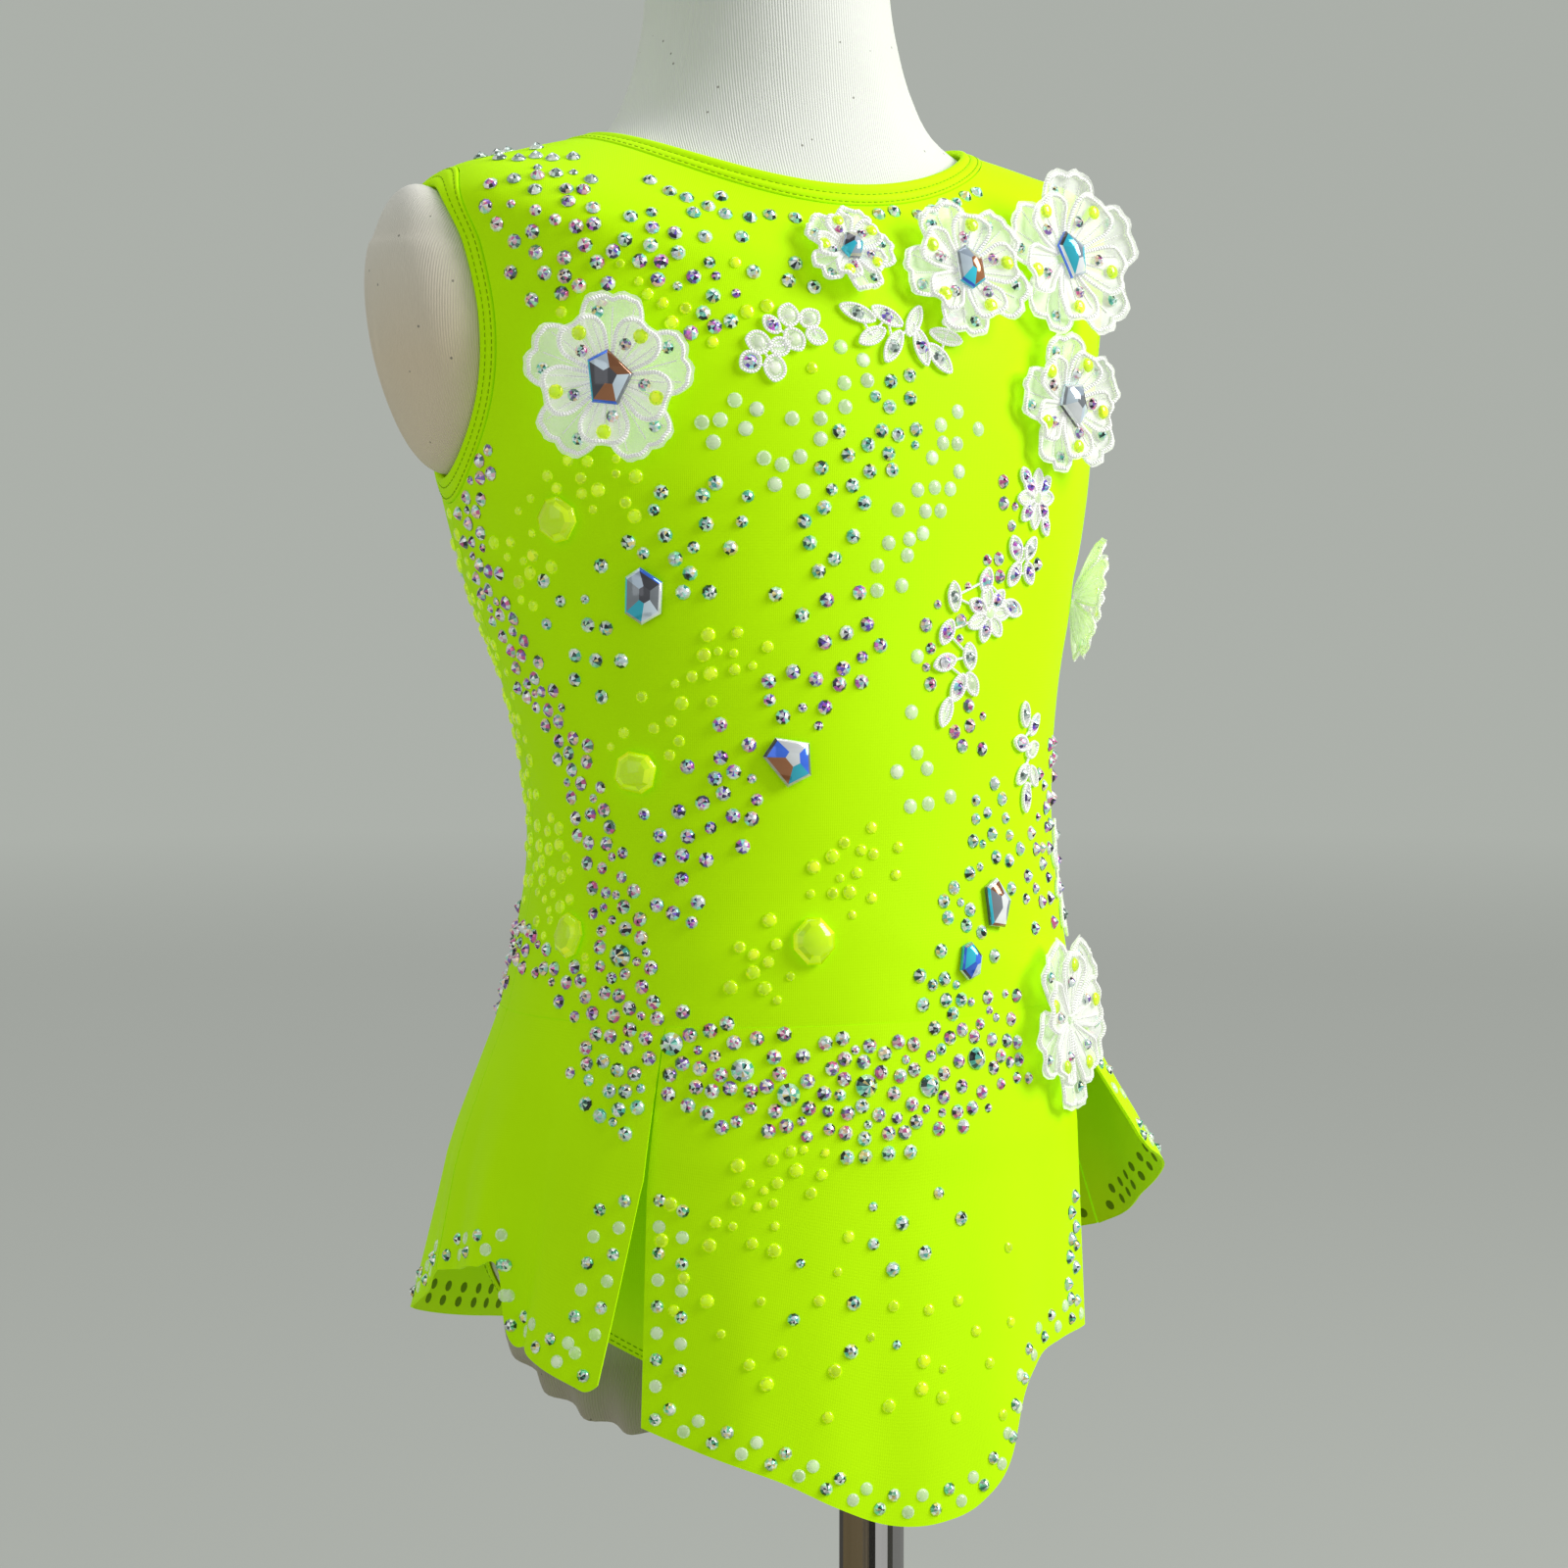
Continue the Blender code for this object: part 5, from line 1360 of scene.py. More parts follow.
def panel_levels():
    """Rows of a panel: closest at the crotch, then even, then closer where the armhole's edge turns."""
    band = ARMHOLE_HALF_HEIGHT + ARMHOLE_BAND + SEAM_GAP
    start = GUSSET_LEVEL + GUSSET_GAP_LEVEL
    crotch = start + (LEG_TOP - start) * np.linspace(0, 1, 44) ** 1.7
    torso = np.linspace(LEG_TOP, ARMHOLE_LEVEL - band, 60)[1:]
    sleeve = ARMHOLE_LEVEL - band * np.cos(np.linspace(0, np.pi, 49))[1:]
    top = np.linspace(ARMHOLE_LEVEL + band, NECK_SEAM - SEAM_GAP, 14)[1:]
    return np.concatenate([crotch, torso, sleeve, top])


class LEOTARD_OT_leotard(bpy.types.Operator):
    """Makes the leotard's front, back and gusset."""

    bl_idname = "leotard.leotard"
    bl_label = "Leotard"

    def execute(self, context):
        settings = context.scene.leotard
        for name, middle, back in (("leotard_front", 0.0, False), ("leotard_back", 180.0, True)):
            levels = panel_levels()[:, None]
            share = np.linspace(-1, 1, 129)[None, :]
            angle = middle + share * panel_edge(levels, back)
            outer = bodice(angle, levels)
            inner = raised(bodice, angle, levels, -settings.cloth_wall)
            points, faces, uv, tints = shell(outer, inner)
            piece = put_mesh("cloth_" + name, points, faces, lime(settings), uv, tints)
            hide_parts(name)
            declare_cloth(outer)
        levels = np.array([*GUSSET_LEVELS, GUSSET_LEVEL])[:, None]
        angle = np.linspace(0, 360, 72, endpoint=False)[None, :]
        outer = raised(skin, angle, levels, 0.0)
        inner = raised(skin, angle, levels, -settings.cloth_wall)
        points, faces, uv, tints = shell(outer, inner, True)
        piece = put_mesh("cloth_crotch_gusset", points, faces, lime(settings), uv, tints)
        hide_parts("crotch_gusset")
        declare_cloth(np.concatenate([outer, outer[:, :1]], axis=1))
        return {"FINISHED"}


# A turned band across its width: share of the width and height over the cloth. Its rim is rolled, and it is
# drawn in a little along each of its two rows of stitches
BAND_PROFILE = (
    (1.00, -0.0012),
    (0.50, -0.0012),
    (0.10, -0.0012),
    (0.02, -0.0009),
    (-0.01, -0.0002),
    (0.03, 0.0006),
    (0.12, 0.0010),
    (0.22, 0.0009),
    (0.33, 0.0006),
    (0.39, 0.00035),
    (0.45, 0.0006),
    (0.60, 0.0008),
    (0.75, 0.0006),
    (0.83, 0.00030),
    (0.89, 0.0005),
    (0.95, 0.0004),
    (1.00, 0.0001),
)
BAND_ROWS = (0.39, 0.83)
# The bands' flat width, the length of BAND_PROFILE, and the stitches' heights over the cloth
BAND_RUN = 0.0076
BAND_STITCH_LIFT = 0.0004
LEG_STITCH_LIFT = 0.0001
LEG_STITCH_FOOT = 0.252
LEG_STITCH_ROWS = (0.0030, 0.0066)


def band(name, node, angle_at, settings):
    """A turned band round an opening: BAND_PROFILE carried along the loop that angle_at gives for each share."""
    share = np.array([row[0] for row in BAND_PROFILE])[:, None]
    out = np.array([row[1] for row in BAND_PROFILE])[:, None]
    angle, level = angle_at(share)
    grid = raised(skin, angle, level, out)
    grid[:, -1] = grid[:, 0]
    rows, columns = grid.shape[:2]
    around = np.linalg.norm(np.diff(grid, axis=1), axis=-1)
    run = np.concatenate([np.zeros((rows, 1)), np.cumsum(around, axis=1)], axis=1)
    uv = np.stack([run, np.broadcast_to(share * BAND_RUN, run.shape)], axis=-1).reshape(-1, 2)
    number = np.arange(rows * columns).reshape(rows, columns)
    faces = np.concatenate([grid_faces(rows, columns), strip_faces(number[-1], number[0])[:, ::-1]])
    corner = grid.reshape(-1, 3)[faces]
    halves = np.cross(corner[:, 1], corner[:, 2]) + np.cross(corner[:, 2], corner[:, 3])
    if (corner[:, 0] * halves).sum() < 0:
        faces = faces[:, ::-1]
    piece = put_mesh(name, grid, [faces], lime(settings), uv, np.ones((len(faces), 3)), 60.0, weld=True)
    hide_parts(node)


def neck_loop(share):
    """The neck band's angles and levels: share 0 at its rim and 1 at its seam."""
    turn = np.linspace(180, 540, 217)[None, :]
    return turn, NECK_EDGE + (NECK_SEAM - NECK_EDGE) * share + 0 * turn


class LEOTARD_OT_bands(bpy.types.Operator):
    """Makes the turned bands of the neck and the armholes."""

    bl_idname = "leotard.bands"
    bl_label = "Bands"

    def execute(self, context):
        settings = context.scene.leotard
        turn = np.linspace(0, 2 * np.pi, 181)[None, :]
        band("cloth_neck_binding", "neck_binding", neck_loop, settings)
        for side, node in ((-1, "armhole_binding_right"), (1, "armhole_binding_left")):
            band("cloth_" + node, node, lambda share, side=side: armhole_loop(side, share, turn), settings)
        return {"FINISHED"}


class LEOTARD_OT_skirt(bpy.types.Operator):
    """Makes the skirt's four petals: each hangs from its seam, flares to its hem and thins to the seam."""

    bl_idname = "leotard.skirt"
    bl_label = "Skirt"

    def execute(self, context):
        settings = context.scene.leotard
        for name, (rows, columns) in PETAL_GRIDS.items():
            outer, inner = petal_grids(name, rows, columns, settings.cloth_wall)
            points, faces, uv, tints = shell(outer, inner)
            piece = put_mesh("cloth_" + name, points, faces, lime(settings), uv, tints)
            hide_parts(name)
            declare_cloth(outer)
        return {"FINISHED"}


def petal_places(name, rows, columns):
    """A petal's angles, levels and drops on a grid, from its hem up; its corners at a slit are rounded off."""
    share = np.linspace(0, 1, columns)[None, :]
    ends = PETALS[name][0][0], PETALS[name][-1][0]
    at_hem = ends[0] + (ends[1] - ends[0]) * share
    full = petal_fall(name, at_hem)[0]
    for end, slit in zip((0, -1), OPEN_EDGES.get(name, (None, None))):
        if slit is not None:
            near = np.abs(at_hem - ends[end])
            full = full - CORNER_ROUNDING * np.clip(1 - near / CORNER_ANGLE, 0, 1) ** 2
    drop = np.linspace(1, 0, rows)[:, None] * full
    first, last = petal_edges(name, drop)
    return first * (1 - share) + last * share, SKIRT_TOP - drop, drop


def petal_grids(name, rows, columns, wall):
    """A petal's outer and inner face; the cloth thins towards the seam, so that its top edge doesn't show."""
    angle, level, drop = petal_places(name, rows, columns)
    outer = skirt_skin(name, angle, level)
    thick = SEAM_CLOTH + (wall - SEAM_CLOTH) * ease(drop, 0.0, SEAM_FADE)
    return outer, raised(lambda a, z: skirt_skin(name, a, z), angle, level, -thick)


def leg_stitches(back, side, pitch):
    """The rows of stitches along one leg opening, on the front or the back: set distances inside its edge."""
    level = np.linspace(LEG_STITCH_FOOT, LEG_TOP, 90)
    angle = (180.0 if back else 0.0) + side * panel_edge(level, back)
    _, _, _, _, per_degree, per_level = frames(bodice, angle, level)
    along = np.stack([np.gradient(angle) * per_degree, np.gradient(level) * per_level], axis=-1)
    along /= np.linalg.norm(along, axis=-1, keepdims=True)
    rows = []
    for inset in LEG_STITCH_ROWS:
        inward_angle = angle - side * inset * np.abs(along[:, 1]) / per_degree
        inward_level = level + inset * np.abs(along[:, 0]) / per_level
        rows.append(stitch_row(bodice, inward_angle, inward_level, LEG_STITCH_LIFT, pitch))
    return rows


class LEOTARD_OT_stitches(bpy.types.Operator):
    """Makes the two rows of cover stitching on each band and round the leg openings."""

    bl_idname = "leotard.stitches"
    bl_label = "Stitching"

    def execute(self, context):
        pitch = context.scene.leotard.stitch_pitch
        rows = []
        turn = np.linspace(0, 2 * np.pi, 361)
        for share in BAND_ROWS:
            level = np.full(361, NECK_EDGE + (NECK_SEAM - NECK_EDGE) * share)
            rows.append(stitch_row(skin, np.degrees(turn), level, BAND_STITCH_LIFT, pitch))
            for side in (-1, 1):
                rows.append(stitch_row(skin, *armhole_loop(side, share, turn), BAND_STITCH_LIFT, pitch))
        for back in (False, True):
            for side in (-1, 1):
                rows += leg_stitches(back, side, pitch)
        here, along, across, out_way = (np.concatenate([row[k] for row in rows]) for k in range(4))
        points, faces = stitch()
        made, faces = placed(points, faces, here, along, across, out_way, 1.0)
        uv = np.stack([made[:, 0] + made[:, 1], made[:, 2]], axis=-1)
        tints = np.ones((sum(len(array) for array in faces), 3))
        # The thread is the cloth's lime, painted darker as painted shade in the stitches' dents, with a faint painted
        # glow
        thread = material("neon_thread", stretch_jersey, colour("94C000"), colour("94C000"), 0.03)
        piece = put_mesh("band_stitches", made, faces, thread, uv, tints)
        return {"FINISHED"}


class LEOTARD_OT_flowers(bpy.types.Operator):
    """Makes the organza flowers and the satin cords along their petals."""

    bl_idname = "leotard.flowers"
    bl_label = "Flowers"

    def execute(self, context):
        cords = []
        for name, row in FLOWERS.items():
            petals, cord, area = flower_parts(row, seat_of(row))
            points, faces, uv = gather(petals)
            piece = put_mesh("organza_" + name, points, faces, organza(), uv)
            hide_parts(name)
            cords += cord
        points, faces, uv = gather(cords)
        put_mesh("flower_cords", points, faces, cord_satin(), uv)
        return {"FINISHED"}


class LEOTARD_OT_lace(bpy.types.Operator):
    """Makes the corded lace sprays: sheer leaves with a cord round each, on a line of cord."""

    bl_idname = "leotard.lace"
    bl_label = "Lace sprays"

    def execute(self, context):
        cords, leaves = [], []
        for row in SPRAYS.values():
            cord, leaf = spray_parts(row)
            cords += cord
            leaves += leaf
        points, faces, uv = gather(cords)
        piece = put_mesh("lace_cords", points, faces, cord_satin(), uv)
        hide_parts(*SPRAYS)
        points, faces, uv = gather(leaves)
        put_mesh("lace_leaves", points, faces, organza(), uv)
        return {"FINISHED"}


def facet_tints_and_reflections(random, name, faces_each, count):
    """Tints of the facets of many stones of one coating, painted reflections for the coated ones: picks from its
    palette, lighter or darker at random.
    """
    tones = palette(name)
    picked = tones[random.integers(0, len(tones), (count, faces_each))]
    return picked * random.uniform(0.75, 1.2, (count, faces_each, 1))


def laid_out(template, tints):
    """Tints of every stone's faces in the order that placed() gives them: one kind of face at a time."""
    start, blocks = 0, []
    for array in template:
        blocks.append(tints[:, start : start + len(array)].reshape(-1, 3))
        start += len(array)
    return np.clip(np.concatenate(blocks), 0, 1)


class LEOTARD_OT_crystals(bpy.types.Operator):
    """Makes the fancy crystals, on the cloth and in the flowers."""

    bl_idname = "leotard.crystals"
    bl_label = "Fancy crystals"

    def execute(self, context):
        random = np.random.default_rng(11)
        sets = {"fancy": [], "neon": []}
        for name, row in CRYSTALS.items():
            sets["neon" if name.startswith("neon") else "fancy"].append((name, row, row[:2], CRYSTAL_SEAT))
        for name, row in FLOWER_CRYSTALS.items():
            place = FLOWERS[name]
            sets["fancy"].append(("crystal_" + name, row, place, place[5] + FLOWER_CRYSTAL_SEAT))
        for kind, rows in sets.items():
            parts, tints = [], []
            for _, row, place, out in rows:
                local, faces = fancy(row, kind == "neon")
                parts.append((in_seat(local, seat_of(place, out)), faces, local[:, :2]))
                count = sum(len(array) for array in faces)
                tints.append(facet_tints_and_reflections(random, kind, count, 1)[0])
            points, faces, _ = gather(parts)
            finish = coated_glass() if kind == "fancy" else neon_glass()
            piece = put_mesh(f"{kind}_crystals", points, faces, finish, None, np.clip(np.concatenate(tints), 0, 1), 0)
            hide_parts(*[row[0] for row in rows])
        return {"FINISHED"}


def in_armhole(angle, level, margin):
    """Whether a place is in an armhole or on its band."""
    turn = np.abs((angle + 180) % 360 - 180)
    seam = seam_angle(level)
    reach = np.where(turn < seam, ARMHOLE_FRONT, ARMHOLE_BACK) + ARMHOLE_BAND_ANGLE
    across = (turn - seam) / (reach + margin / METRES_PER_DEGREE)
    up = (level - ARMHOLE_LEVEL) / (ARMHOLE_HALF_HEIGHT + ARMHOLE_BAND + margin)
    return across**2 + up**2 < 1


def on_petal(angle, level, margin):
    """Whether a place lies on a petal, at least a margin inside its edges; above the skirt every place does."""
    good = level >= SKIRT_TOP
    for name, table in PETALS.items():
        turn = angle % 360 if name == "skirt_back" else (angle + 180) % 360 - 180
        drop = SKIRT_TOP - level
        first, last = petal_edges(name, drop)
        full = petal_fall(name, petal_share(name, turn, drop)[1])[0]
        edge = np.degrees(margin / HIP_RADIUS)
        inside = (turn > first + edge) & (turn < last - edge) & (drop < full - margin)
        good = good | ((level < SKIRT_TOP) & (turn >= table[0][0]) & (turn < table[-1][0]) & inside)
    return good


def drift_places(random, gap):
    """Angles, levels, widths and looks of the stones in the drifts. Candidates are thrown along each line with a
    bell-shaped spread. Of each few, the one with most room is kept if it is clear of every stone, crystal, flower
    and lace loop before it."""
    taken, reach = [], []
    for row in CRYSTALS.values():
        taken.append(raised(skin, np.float64(row[0]), np.float64(row[1]), 0.0))
        reach.append(max(row[2:4]) * 0.96)
    for row in FLOWERS.values():
        taken.append(raised(skin, np.float64(row[0]), np.float64(row[1]), 0.0))
        reach.append(row[2] * 0.80)
    for row in SPRAYS.values():
        middle, _, half, _, _ = spray_loops(row[1:])
        taken += list(on_cloth(row[0], middle, 0.0))
        reach += list(half * 0.9)
    angles, levels, widths, looks = [], [], [], []

    def keep(angle, level, width, look, here):
        distance = np.linalg.norm(np.array(taken) - here, axis=-1)
        if (distance < np.array(reach) + width / 2 + gap).any():
            return False
        taken.append(here)
        reach.append(width / 2)
        angles.append(angle)
        levels.append(level)
        widths.append(width)
        looks.append(look)
        return True

    for angle, level in ROUND_STONES:
        keep(angle, level, BIG_STONE, "round", dressed(np.array([angle]), np.array([level]))[0])
    for look, count, spread, line in DRIFTS:
        line = np.array(line, float)
        _, _, _, _, per_degree, per_level = frames(skin, line[:, 0], np.minimum(line[:, 1], 0.670))
        step = np.diff(line, axis=0) * np.stack([per_degree, per_level], axis=-1)[:-1]
        run = np.concatenate([[0.0], np.cumsum(np.linalg.norm(step, axis=-1))])
        tries = count * TRIES_PER_STONE
        at = random.uniform(0, run[-1], tries)
        angle, level = np.interp(at, run, line[:, 0]), np.interp(at, run, line[:, 1])
        off = np.clip(random.normal(0, spread, (tries, 2)), -SPREAD_LIMIT * spread, SPREAD_LIMIT * spread)
        degree = np.interp(at, run, per_degree)
        angle, level = angle + off[:, 0] / degree, level + off[:, 1] / np.interp(at, run, per_level)
        sizes = random.choice(STONE_SIZES, tries, p=LOOK_SHARES.get(look, STONE_SHARES))
        good = on_petal(angle, level, 0.003) & ~in_armhole(angle, level, 0.0025)
        good &= (level < NECK_SEAM - 0.003) & (np.abs(level - SKIRT_TOP) > 0.0006)
        here = dressed(angle, level)
        open_to = list(np.flatnonzero(good))
        kept = 0
        while kept < count and open_to:
            group, open_to = open_to[:OPENEST_OF], open_to[OPENEST_OF:]
            apart = np.linalg.norm(here[group][:, None] - np.array(taken)[None], axis=-1) - np.array(reach)
            index = group[int(np.argmax(apart.min(axis=1)))]
            kept += keep(angle[index], level[index], sizes[index], look, here[index])
    return np.array(angles), np.array(levels), np.array(widths), np.array(looks)


def edge_rows(pitch):
    """Places of the stones along the hems and slits: rows at set distances inside each edge, evenly spaced."""
    found = []
    for name in PETALS:
        ends = PETALS[name][0][0], PETALS[name][-1][0]
        for inset in HEM_ROWS:
            at_hem = np.linspace(ends[0], ends[1], 400)
            share = (at_hem - ends[0]) / (ends[1] - ends[0])
            drop = petal_fall(name, at_hem)[0] - inset
            first, last = petal_edges(name, drop)
            angle = first * (1 - share) + last * share
            line = skirt_skin(name, angle, SKIRT_TOP - drop)
            run = np.concatenate([[0.0], np.cumsum(np.linalg.norm(np.diff(line, axis=0), axis=-1))])
            start = pitch * (0.5 if inset == HEM_ROWS[0] else 1.0)
            at = np.arange(start, run[-1] - 0.003, pitch)
            found.append((np.interp(at, run, angle), np.interp(at, run, SKIRT_TOP - drop), name))
        for end, slit in zip((0, -1), OPEN_EDGES.get(name, (None, None))):
            inward = 1 if end == 0 else -1
            if name == "skirt_front":
                slit = SLIT_RIGHT_TOP if end == 0 else None
            if slit is None:
                continue
            full = petal_fall(name, np.float64(ends[end]))[0]
            for number, inset in enumerate(SLIT_ROWS):
                drop = np.arange(slit + 0.006 + 0.003 * number, full - 0.012, pitch * 0.85)
                edge = petal_edges(name, drop)[end]
                angle = edge + inward * np.degrees(inset / (HIP_RADIUS + 0.012))
                found.append((angle, SKIRT_TOP - drop, name))
    return found


def hem_stones(settings, sets):
    """Adds the rows along the hems and slits, by turns coated and opal, and gives the frames of the glue's marks
    behind them, inside the cloth."""
    spots = []
    for turn, rise, name in edge_rows(settings.hem_pitch):
        seats = frames(lambda a, z, name=name: skirt_skin(name, a, z), turn, rise)[:4]
        for k, kind in enumerate(("hem", "opal")):
            picked = [part[k::2] for part in seats]
            sets[kind].append((*picked, np.full(len(picked[0]), HEM_STONE)))
        here, side_way, up_way, out_way = seats
        spots.append((here - out_way * (settings.cloth_wall + GLUE_GAP), -side_way, up_way, -out_way))
    return spots


def flower_stones(sets):
    """Adds the small stones on the flowers' petals, narrower on a small flower."""
    for row in FLOWERS.values():
        seat = seat_of(row)
        for kind, layer, share, across, width in PETAL_STONES:
            place = petal_point(FLOWER_LAYERS[layer], row, np.array([[share]]), np.array([[across]]))[:, 0, 0]
            here = in_seat(place + (0, 0, 0.0005), seat)
            same = [np.broadcast_to(part, here.shape) for part in seat[1:]]
            sets[kind].append((here, *same, np.full(len(here), width * min(1.0, row[2] / SMALL_FLOWER))))


def lace_stones(sets):
    """Adds the stone inside each loop of the lace, and in the middle of each ring of loops."""
    for row in SPRAYS.values():
        middle, _, _, wide, stones = spray_loops(row[1:])
        rings = [part for part in row[1:] if part[2] < MOST_IN_RING]
        middle = np.concatenate([middle, *[np.array([part[:2]]) * 0.001 for part in rings]])
        wide = np.concatenate([wide, np.full(len(rings), RING_STONE)])
        stones = [*stones, *[part[5] for part in rings]]
        here = on_cloth(row[0], middle, 0.0008)
        seat = seat_of(row[0])
        for kind in ("opal", "violet", "silver"):
            mine = np.array([stone == kind for stone in stones])
            if mine.any():
                same = [np.broadcast_to(part, here[mine].shape) for part in seat[1:]]
                sets[kind].append((here[mine], *same, np.clip(wide[mine] * 1.9, STONE_SIZES[2], STONE_SIZES[0])))


def glue_stains(spots):
    """The dark round marks where glue came through the hem: flat closed discs on the cloth's inner face."""
    turn = np.linspace(0, 2 * np.pi, 9, endpoint=False)
    dot = np.stack([np.cos(turn), np.sin(turn), 0 * turn], axis=-1) * GLUE_RADIUS
    dot = np.concatenate([dot, dot * 0.9 + (0, 0, 0.00004)])
    number = np.arange(9)
    side = np.stack([number, np.roll(number, -1), np.roll(number, -1) + 9, number + 9], axis=-1)
    dot_faces = [number[::-1][None, :], side, number[None, :] + 9]
    here, side_way, up_way, out_way = (np.concatenate([part[k] for part in spots]) for k in range(4))
    made, faces = placed(dot, dot_faces, here, side_way, up_way, out_way, 1.0)
    tints = np.ones((sum(len(array) for array in faces), 3))
    spot = material("glue_stain", stretch_jersey, colour("6E8A00"), colour("6E8A00"), 0.02)
    piece = put_mesh("glue_stains", made, faces, spot, np.stack([made[:, 0], made[:, 2]], axis=-1), tints)


def stone_piece(random, name, sets, kinds, finish, cut):
    """One piece of all the stones of some kinds, each turned at random and tinted facet by facet."""
    parts, tints = [], []
    for kind in kinds:
        template, faces = pointed(ROUND_SIDES, POINT_HEIGHT) if kind == "round" else cut
        here, side_way, up_way, out_way, widths = (np.concatenate([part[k] for part in sets[kind]]) for k in range(5))
        spin = random.uniform(0, 2 * np.pi, len(here))[:, None]
        first = side_way * np.cos(spin) + up_way * np.sin(spin)
        second = up_way * np.cos(spin) - side_way * np.sin(spin)
        made, placed_faces = placed(template, faces, here, first, second, out_way, widths / 2)
        parts.append((made, placed_faces, made[:, :2]))
        count = sum(len(array) for array in faces)
        tone = "sea" if kind == "round" else kind
        tints.append(laid_out(faces, facet_tints_and_reflections(random, tone, count, len(here))))
    points, faces, _ = gather(parts)
    sharp = 0 if name == "stones_iridescent" else 50.0
    piece = put_mesh(name, points, faces, finish, None, np.concatenate(tints), sharp)


class LEOTARD_OT_stones(bpy.types.Operator):
    """Makes the flat-backed stones: the drifts, the hem's rows with the glue's marks behind them, and the small
    ones on the flowers and lace."""

    bl_idname = "leotard.stones"
    bl_label = "Flat-backed stones"

    def execute(self, context):
        settings = context.scene.leotard
        random = np.random.default_rng(5)
        sets = {look: [] for look in (*TINTS, "round")}
        angle, level, width, look = drift_places(random, settings.stone_gap)
        for kind in sets:
            here = look == kind
            if here.any():
                sets[kind].append((*frames(dressed, angle[here], level[here])[:4], width[here]))
        spots = hem_stones(settings, sets)
        flower_stones(sets)
        lace_stones(sets)
        coated = ("rose", "sea", "violet", "hem", "silver", "round")
        stone_piece(random, "stones_iridescent", sets, coated, coated_glass(), pointed(9, POINT_HEIGHT))
        stone_piece(random, "stones_neon", sets, ("neon",), neon_glass(), chaton(10, 0.62, 0.42))
        stone_piece(random, "stones_opal", sets, ("opal",), opal_glass(), chaton(12, 0.70, 0.32))
        glue_stains(spots)
        return {"FINISHED"}


class LEOTARD_OT_stand(bpy.types.Operator):
    """Gives the chromed stand its material; its solids stay as they are."""

    bl_idname = "leotard.stand"
    bl_label = "Stand"

    def execute(self, context):
        chrome = material("chromed_steel", chromed_steel)
        for name in ("base_plate", "pole_hub", "pole", "pole_flange"):
            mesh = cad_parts[name].data
            mesh.materials.clear()
            mesh.materials.append(chrome)
        return {"FINISHED"}


CAMERA_AT = (-0.6226, -1.1076, 0.5352)
CAMERA_TARGET = (-0.0372, -0.0066, 0.448)
CAMERA_LENS = 87.19
LIGHTS = (
    ("key", (1.25, -1.10, 1.45), (0.9, 1.1), 39.0, (1.0, 0.99, 0.97)),
    ("fill", (-1.7, -0.7, 1.0), (1.4, 1.4), 3.5, (0.96, 0.98, 1.0)),
    ("top", (-0.1, 0.3, 2.2), (1.2, 1.2), 9.0, (1.0, 1.0, 1.0)),
)
FLOOR_RADIUS = 3.2
BEND_RADIUS = 1.6
LIGHTS_TARGET = (-0.04, 0.0, 0.45)
PAPER_TONES = ("6E716C", "A2A5A0", "B7BBB5")
CARD_AWAY = 0.5
CARD_HEIGHTS = (0.002, 0.14)
# Low cards round the pole that only reflections see: turn from the camera's side to its right, and tone
CARDS = (
    (-180, -123, "474540"),
    (-123, -41, "6F6143"),
    (-41, -20, "8B7E64"),
    (-20, 9, "24221E"),
    (9, 50, "C9C9C5"),
    (50, 77, "46463F"),
    (77, 180, "8B8C88"),
)


def linked(name, data):
    """A new object in the scene."""
    item = bpy.data.objects.new(name, data)
    bpy.context.scene.collection.objects.link(item)
    return item


def point_at(item, place, target):
    """Sets a camera or light at a place so that it looks at the target."""
    item.location = place
    item.rotation_euler = (Vector(target) - Vector(place)).to_track_quat("-Z", "Y").to_euler()


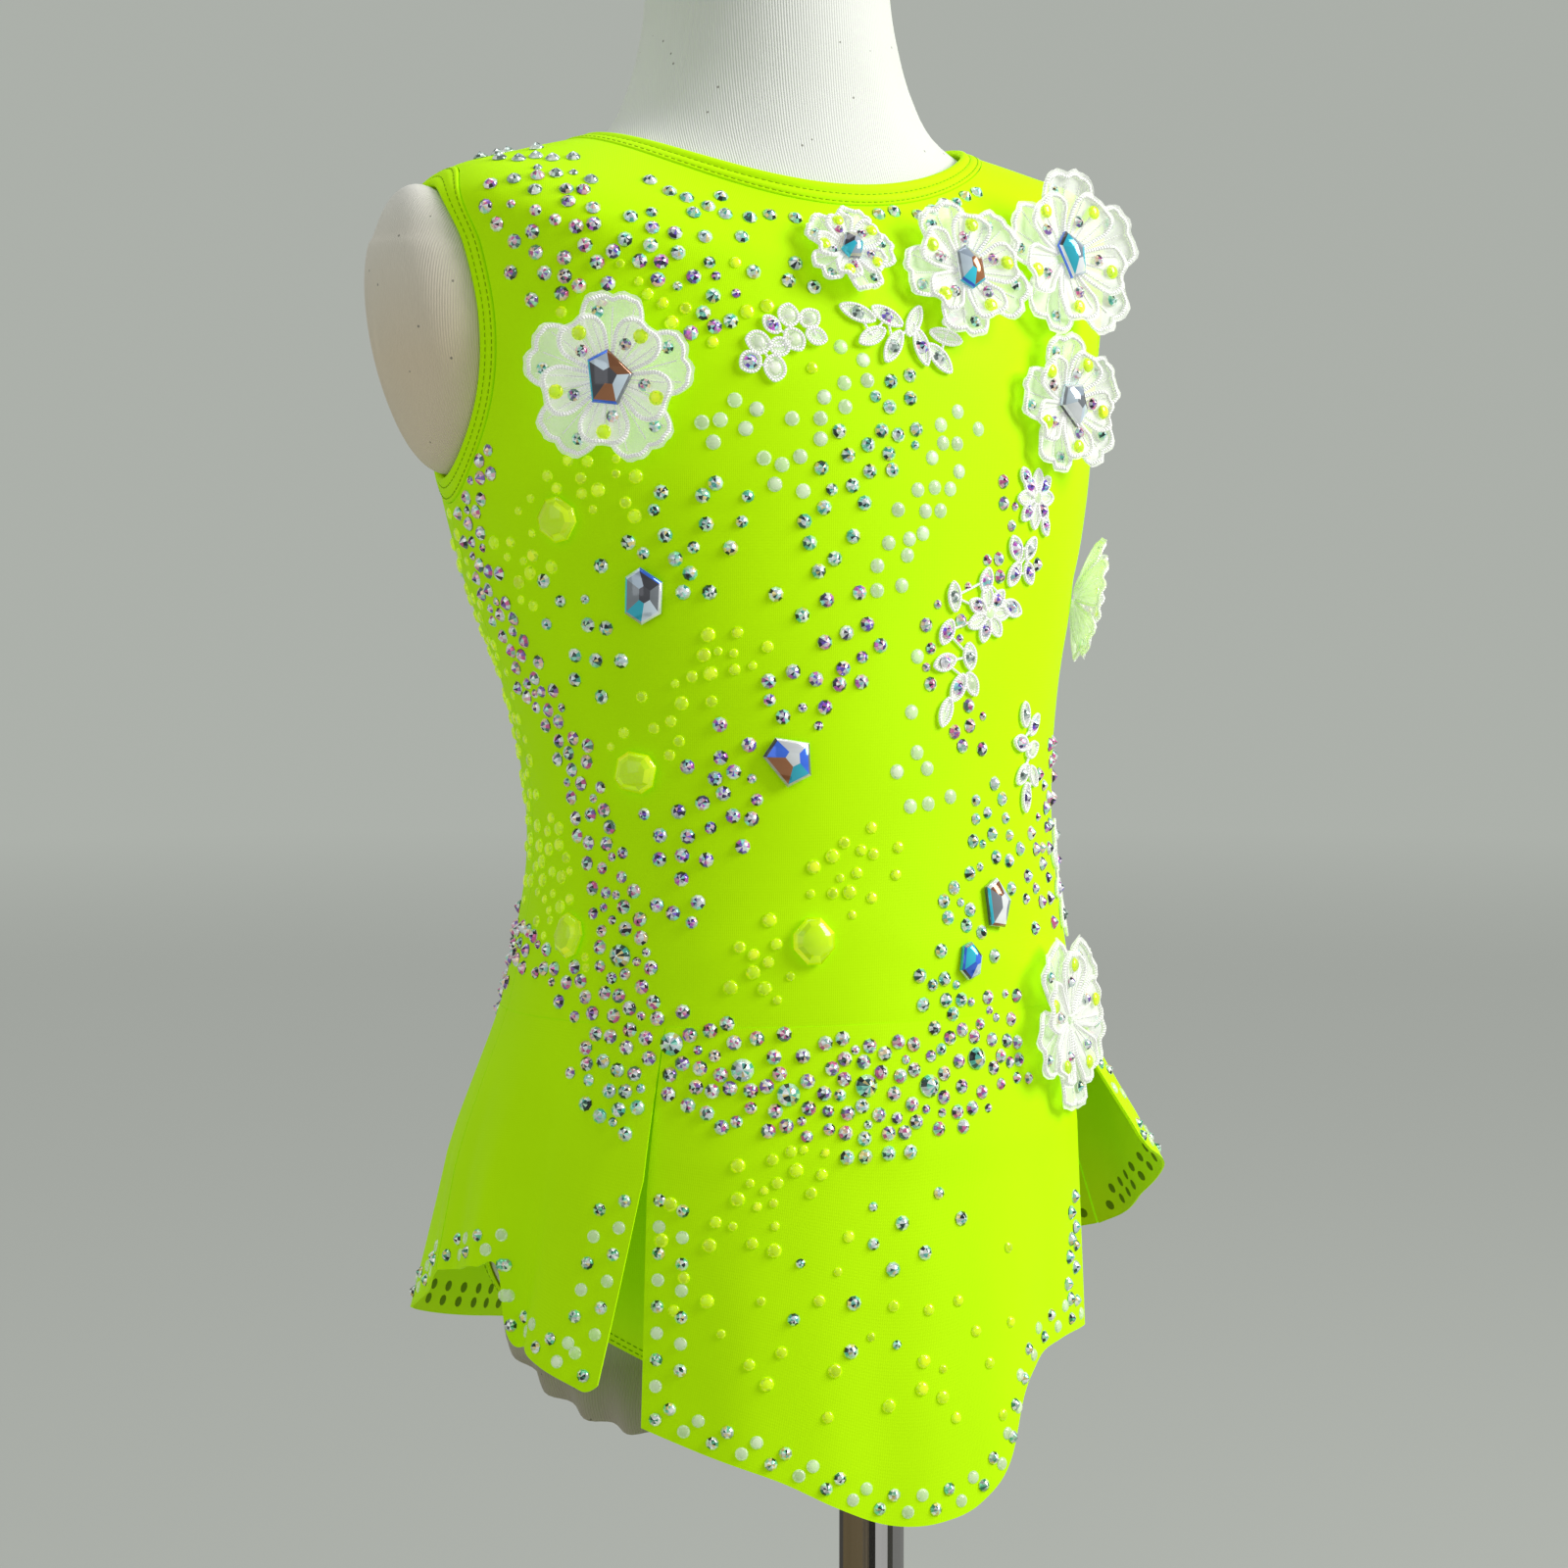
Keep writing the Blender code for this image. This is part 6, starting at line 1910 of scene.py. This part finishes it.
class LEOTARD_OT_stage(bpy.types.Operator):
    """Makes the pale floor and backdrop, the cards, the studio lights and the camera."""

    bl_idname = "leotard.stage"
    bl_label = "Stage"

    def execute(self, context):
        scene = context.scene
        bend = np.linspace(0, np.pi / 2, 14)[1:]
        wall = FLOOR_RADIUS + BEND_RADIUS
        floor = [0.0, 1.0, 2.0, 2.8, FLOOR_RADIUS]
        radius = np.concatenate([floor, FLOOR_RADIUS + BEND_RADIUS * np.sin(bend), [wall, wall]])
        height = np.concatenate([np.zeros(5), BEND_RADIUS * (1 - np.cos(bend)), [2.4, 3.4]]) - 0.0005
        turn = np.linspace(0, 2 * np.pi, 96, endpoint=False)[None, :]
        rings = np.stack(
            [radius[1:, None] * np.cos(turn), radius[1:, None] * np.sin(turn), height[1:, None] + 0 * turn], axis=-1
        )
        number = np.arange(96)
        middle = len(rings) * 96
        faces = [
            grid_faces(len(rings), 96, 0, True, True),
            np.stack([number, np.roll(number, -1), np.full(96, middle)], axis=-1),
        ]
        points = np.concatenate([rings.reshape(-1, 3), [[0, 0, height[0]]]])
        mesh = bpy.data.meshes.new("backdrop")
        mesh.from_pydata(points.tolist(), [], [row for array in faces for row in array.tolist()])
        mesh.shade_smooth()
        mesh.materials.append(material("studio_paper", studio_paper, *(colour(tone) for tone in PAPER_TONES)))
        linked("backdrop", mesh)
        from_camera = np.degrees(np.arctan2(CAMERA_AT[1] - POLE_Y, CAMERA_AT[0] - POLE_X))
        for first, last, tone in CARDS:
            turn = np.radians(from_camera + np.linspace(first, last, 2 + int((last - first) / 6)))
            rim = np.stack([POLE_X + CARD_AWAY * np.cos(turn), POLE_Y + CARD_AWAY * np.sin(turn)], axis=-1)
            grid = np.stack([np.column_stack([rim, np.full(len(rim), z)]) for z in CARD_HEIGHTS])
            mesh = bpy.data.meshes.new(f"card_{first + 180}")
            mesh.from_pydata(grid.reshape(-1, 3).tolist(), [], grid_faces(2, len(rim)).tolist())
            mesh.materials.append(material("card_" + tone, card_paper, colour(tone)))
            card = linked(mesh.name, mesh)
            card.visible_camera = card.visible_diffuse = card.visible_shadow = card.visible_transmission = False
        for name, place, size, power, tone in LIGHTS:
            light = bpy.data.lights.new(name, "AREA")
            light.shape = "RECTANGLE"
            light.size, light.size_y = size
            light.energy = power
            light.color = tone
            point_at(linked(name, light), place, LIGHTS_TARGET)
        world = bpy.data.worlds.new("studio")
        world.use_nodes = True
        world.node_tree.nodes.clear()
        sky = add(world.node_tree, "ShaderNodeBackground", None, {"Color": colour("DDE0E2"), "Strength": 0.36})
        add(world.node_tree, "ShaderNodeOutputWorld", None, {"Surface": sky.outputs[0]})
        scene.world = world
        camera = bpy.data.cameras.new("camera")
        camera.sensor_width = 36.0
        camera.lens = CAMERA_LENS
        camera.clip_start = 0.05
        seen = linked("camera", camera)
        point_at(seen, CAMERA_AT, CAMERA_TARGET)
        scene.camera = seen
        scene.view_settings.view_transform = "Standard"
        return {"FINISHED"}


STEPS = ("form", "leotard", "skirt", "bands", "stitches", "flowers", "lace", "crystals", "stones", "stand", "stage")


class LEOTARD_PT_panel(bpy.types.Panel):
    """Lists the leotard's pieces in the order that they are made."""

    bl_idname = "LEOTARD_PT_panel"
    bl_label = "Leotard"
    bl_space_type = "VIEW_3D"
    bl_region_type = "UI"
    bl_category = "Leotard"

    def draw(self, context):
        settings = context.scene.leotard
        for name in ("cloth_colour", "form_colour", "cloth_wall", "stitch_pitch", "hem_pitch", "stone_gap"):
            self.layout.prop(settings, name)
        for name in STEPS:
            self.layout.operator("leotard." + name)


CLASSES = (
    LeotardSettings,
    LEOTARD_OT_form,
    LEOTARD_OT_leotard,
    LEOTARD_OT_skirt,
    LEOTARD_OT_bands,
    LEOTARD_OT_stitches,
    LEOTARD_OT_flowers,
    LEOTARD_OT_lace,
    LEOTARD_OT_crystals,
    LEOTARD_OT_stones,
    LEOTARD_OT_stand,
    LEOTARD_OT_stage,
    LEOTARD_PT_panel,
)


def register():
    for made in CLASSES:
        bpy.utils.register_class(made)
    bpy.types.Scene.leotard = bpy.props.PointerProperty(type=LeotardSettings)


def unregister():
    del bpy.types.Scene.leotard
    for made in reversed(CLASSES):
        bpy.utils.unregister_class(made)


def main():
    """Registers the add-on and makes every piece in order."""
    register()
    for name in STEPS:
        getattr(bpy.ops.leotard, name)()


if __name__ == "__main__":
    main()
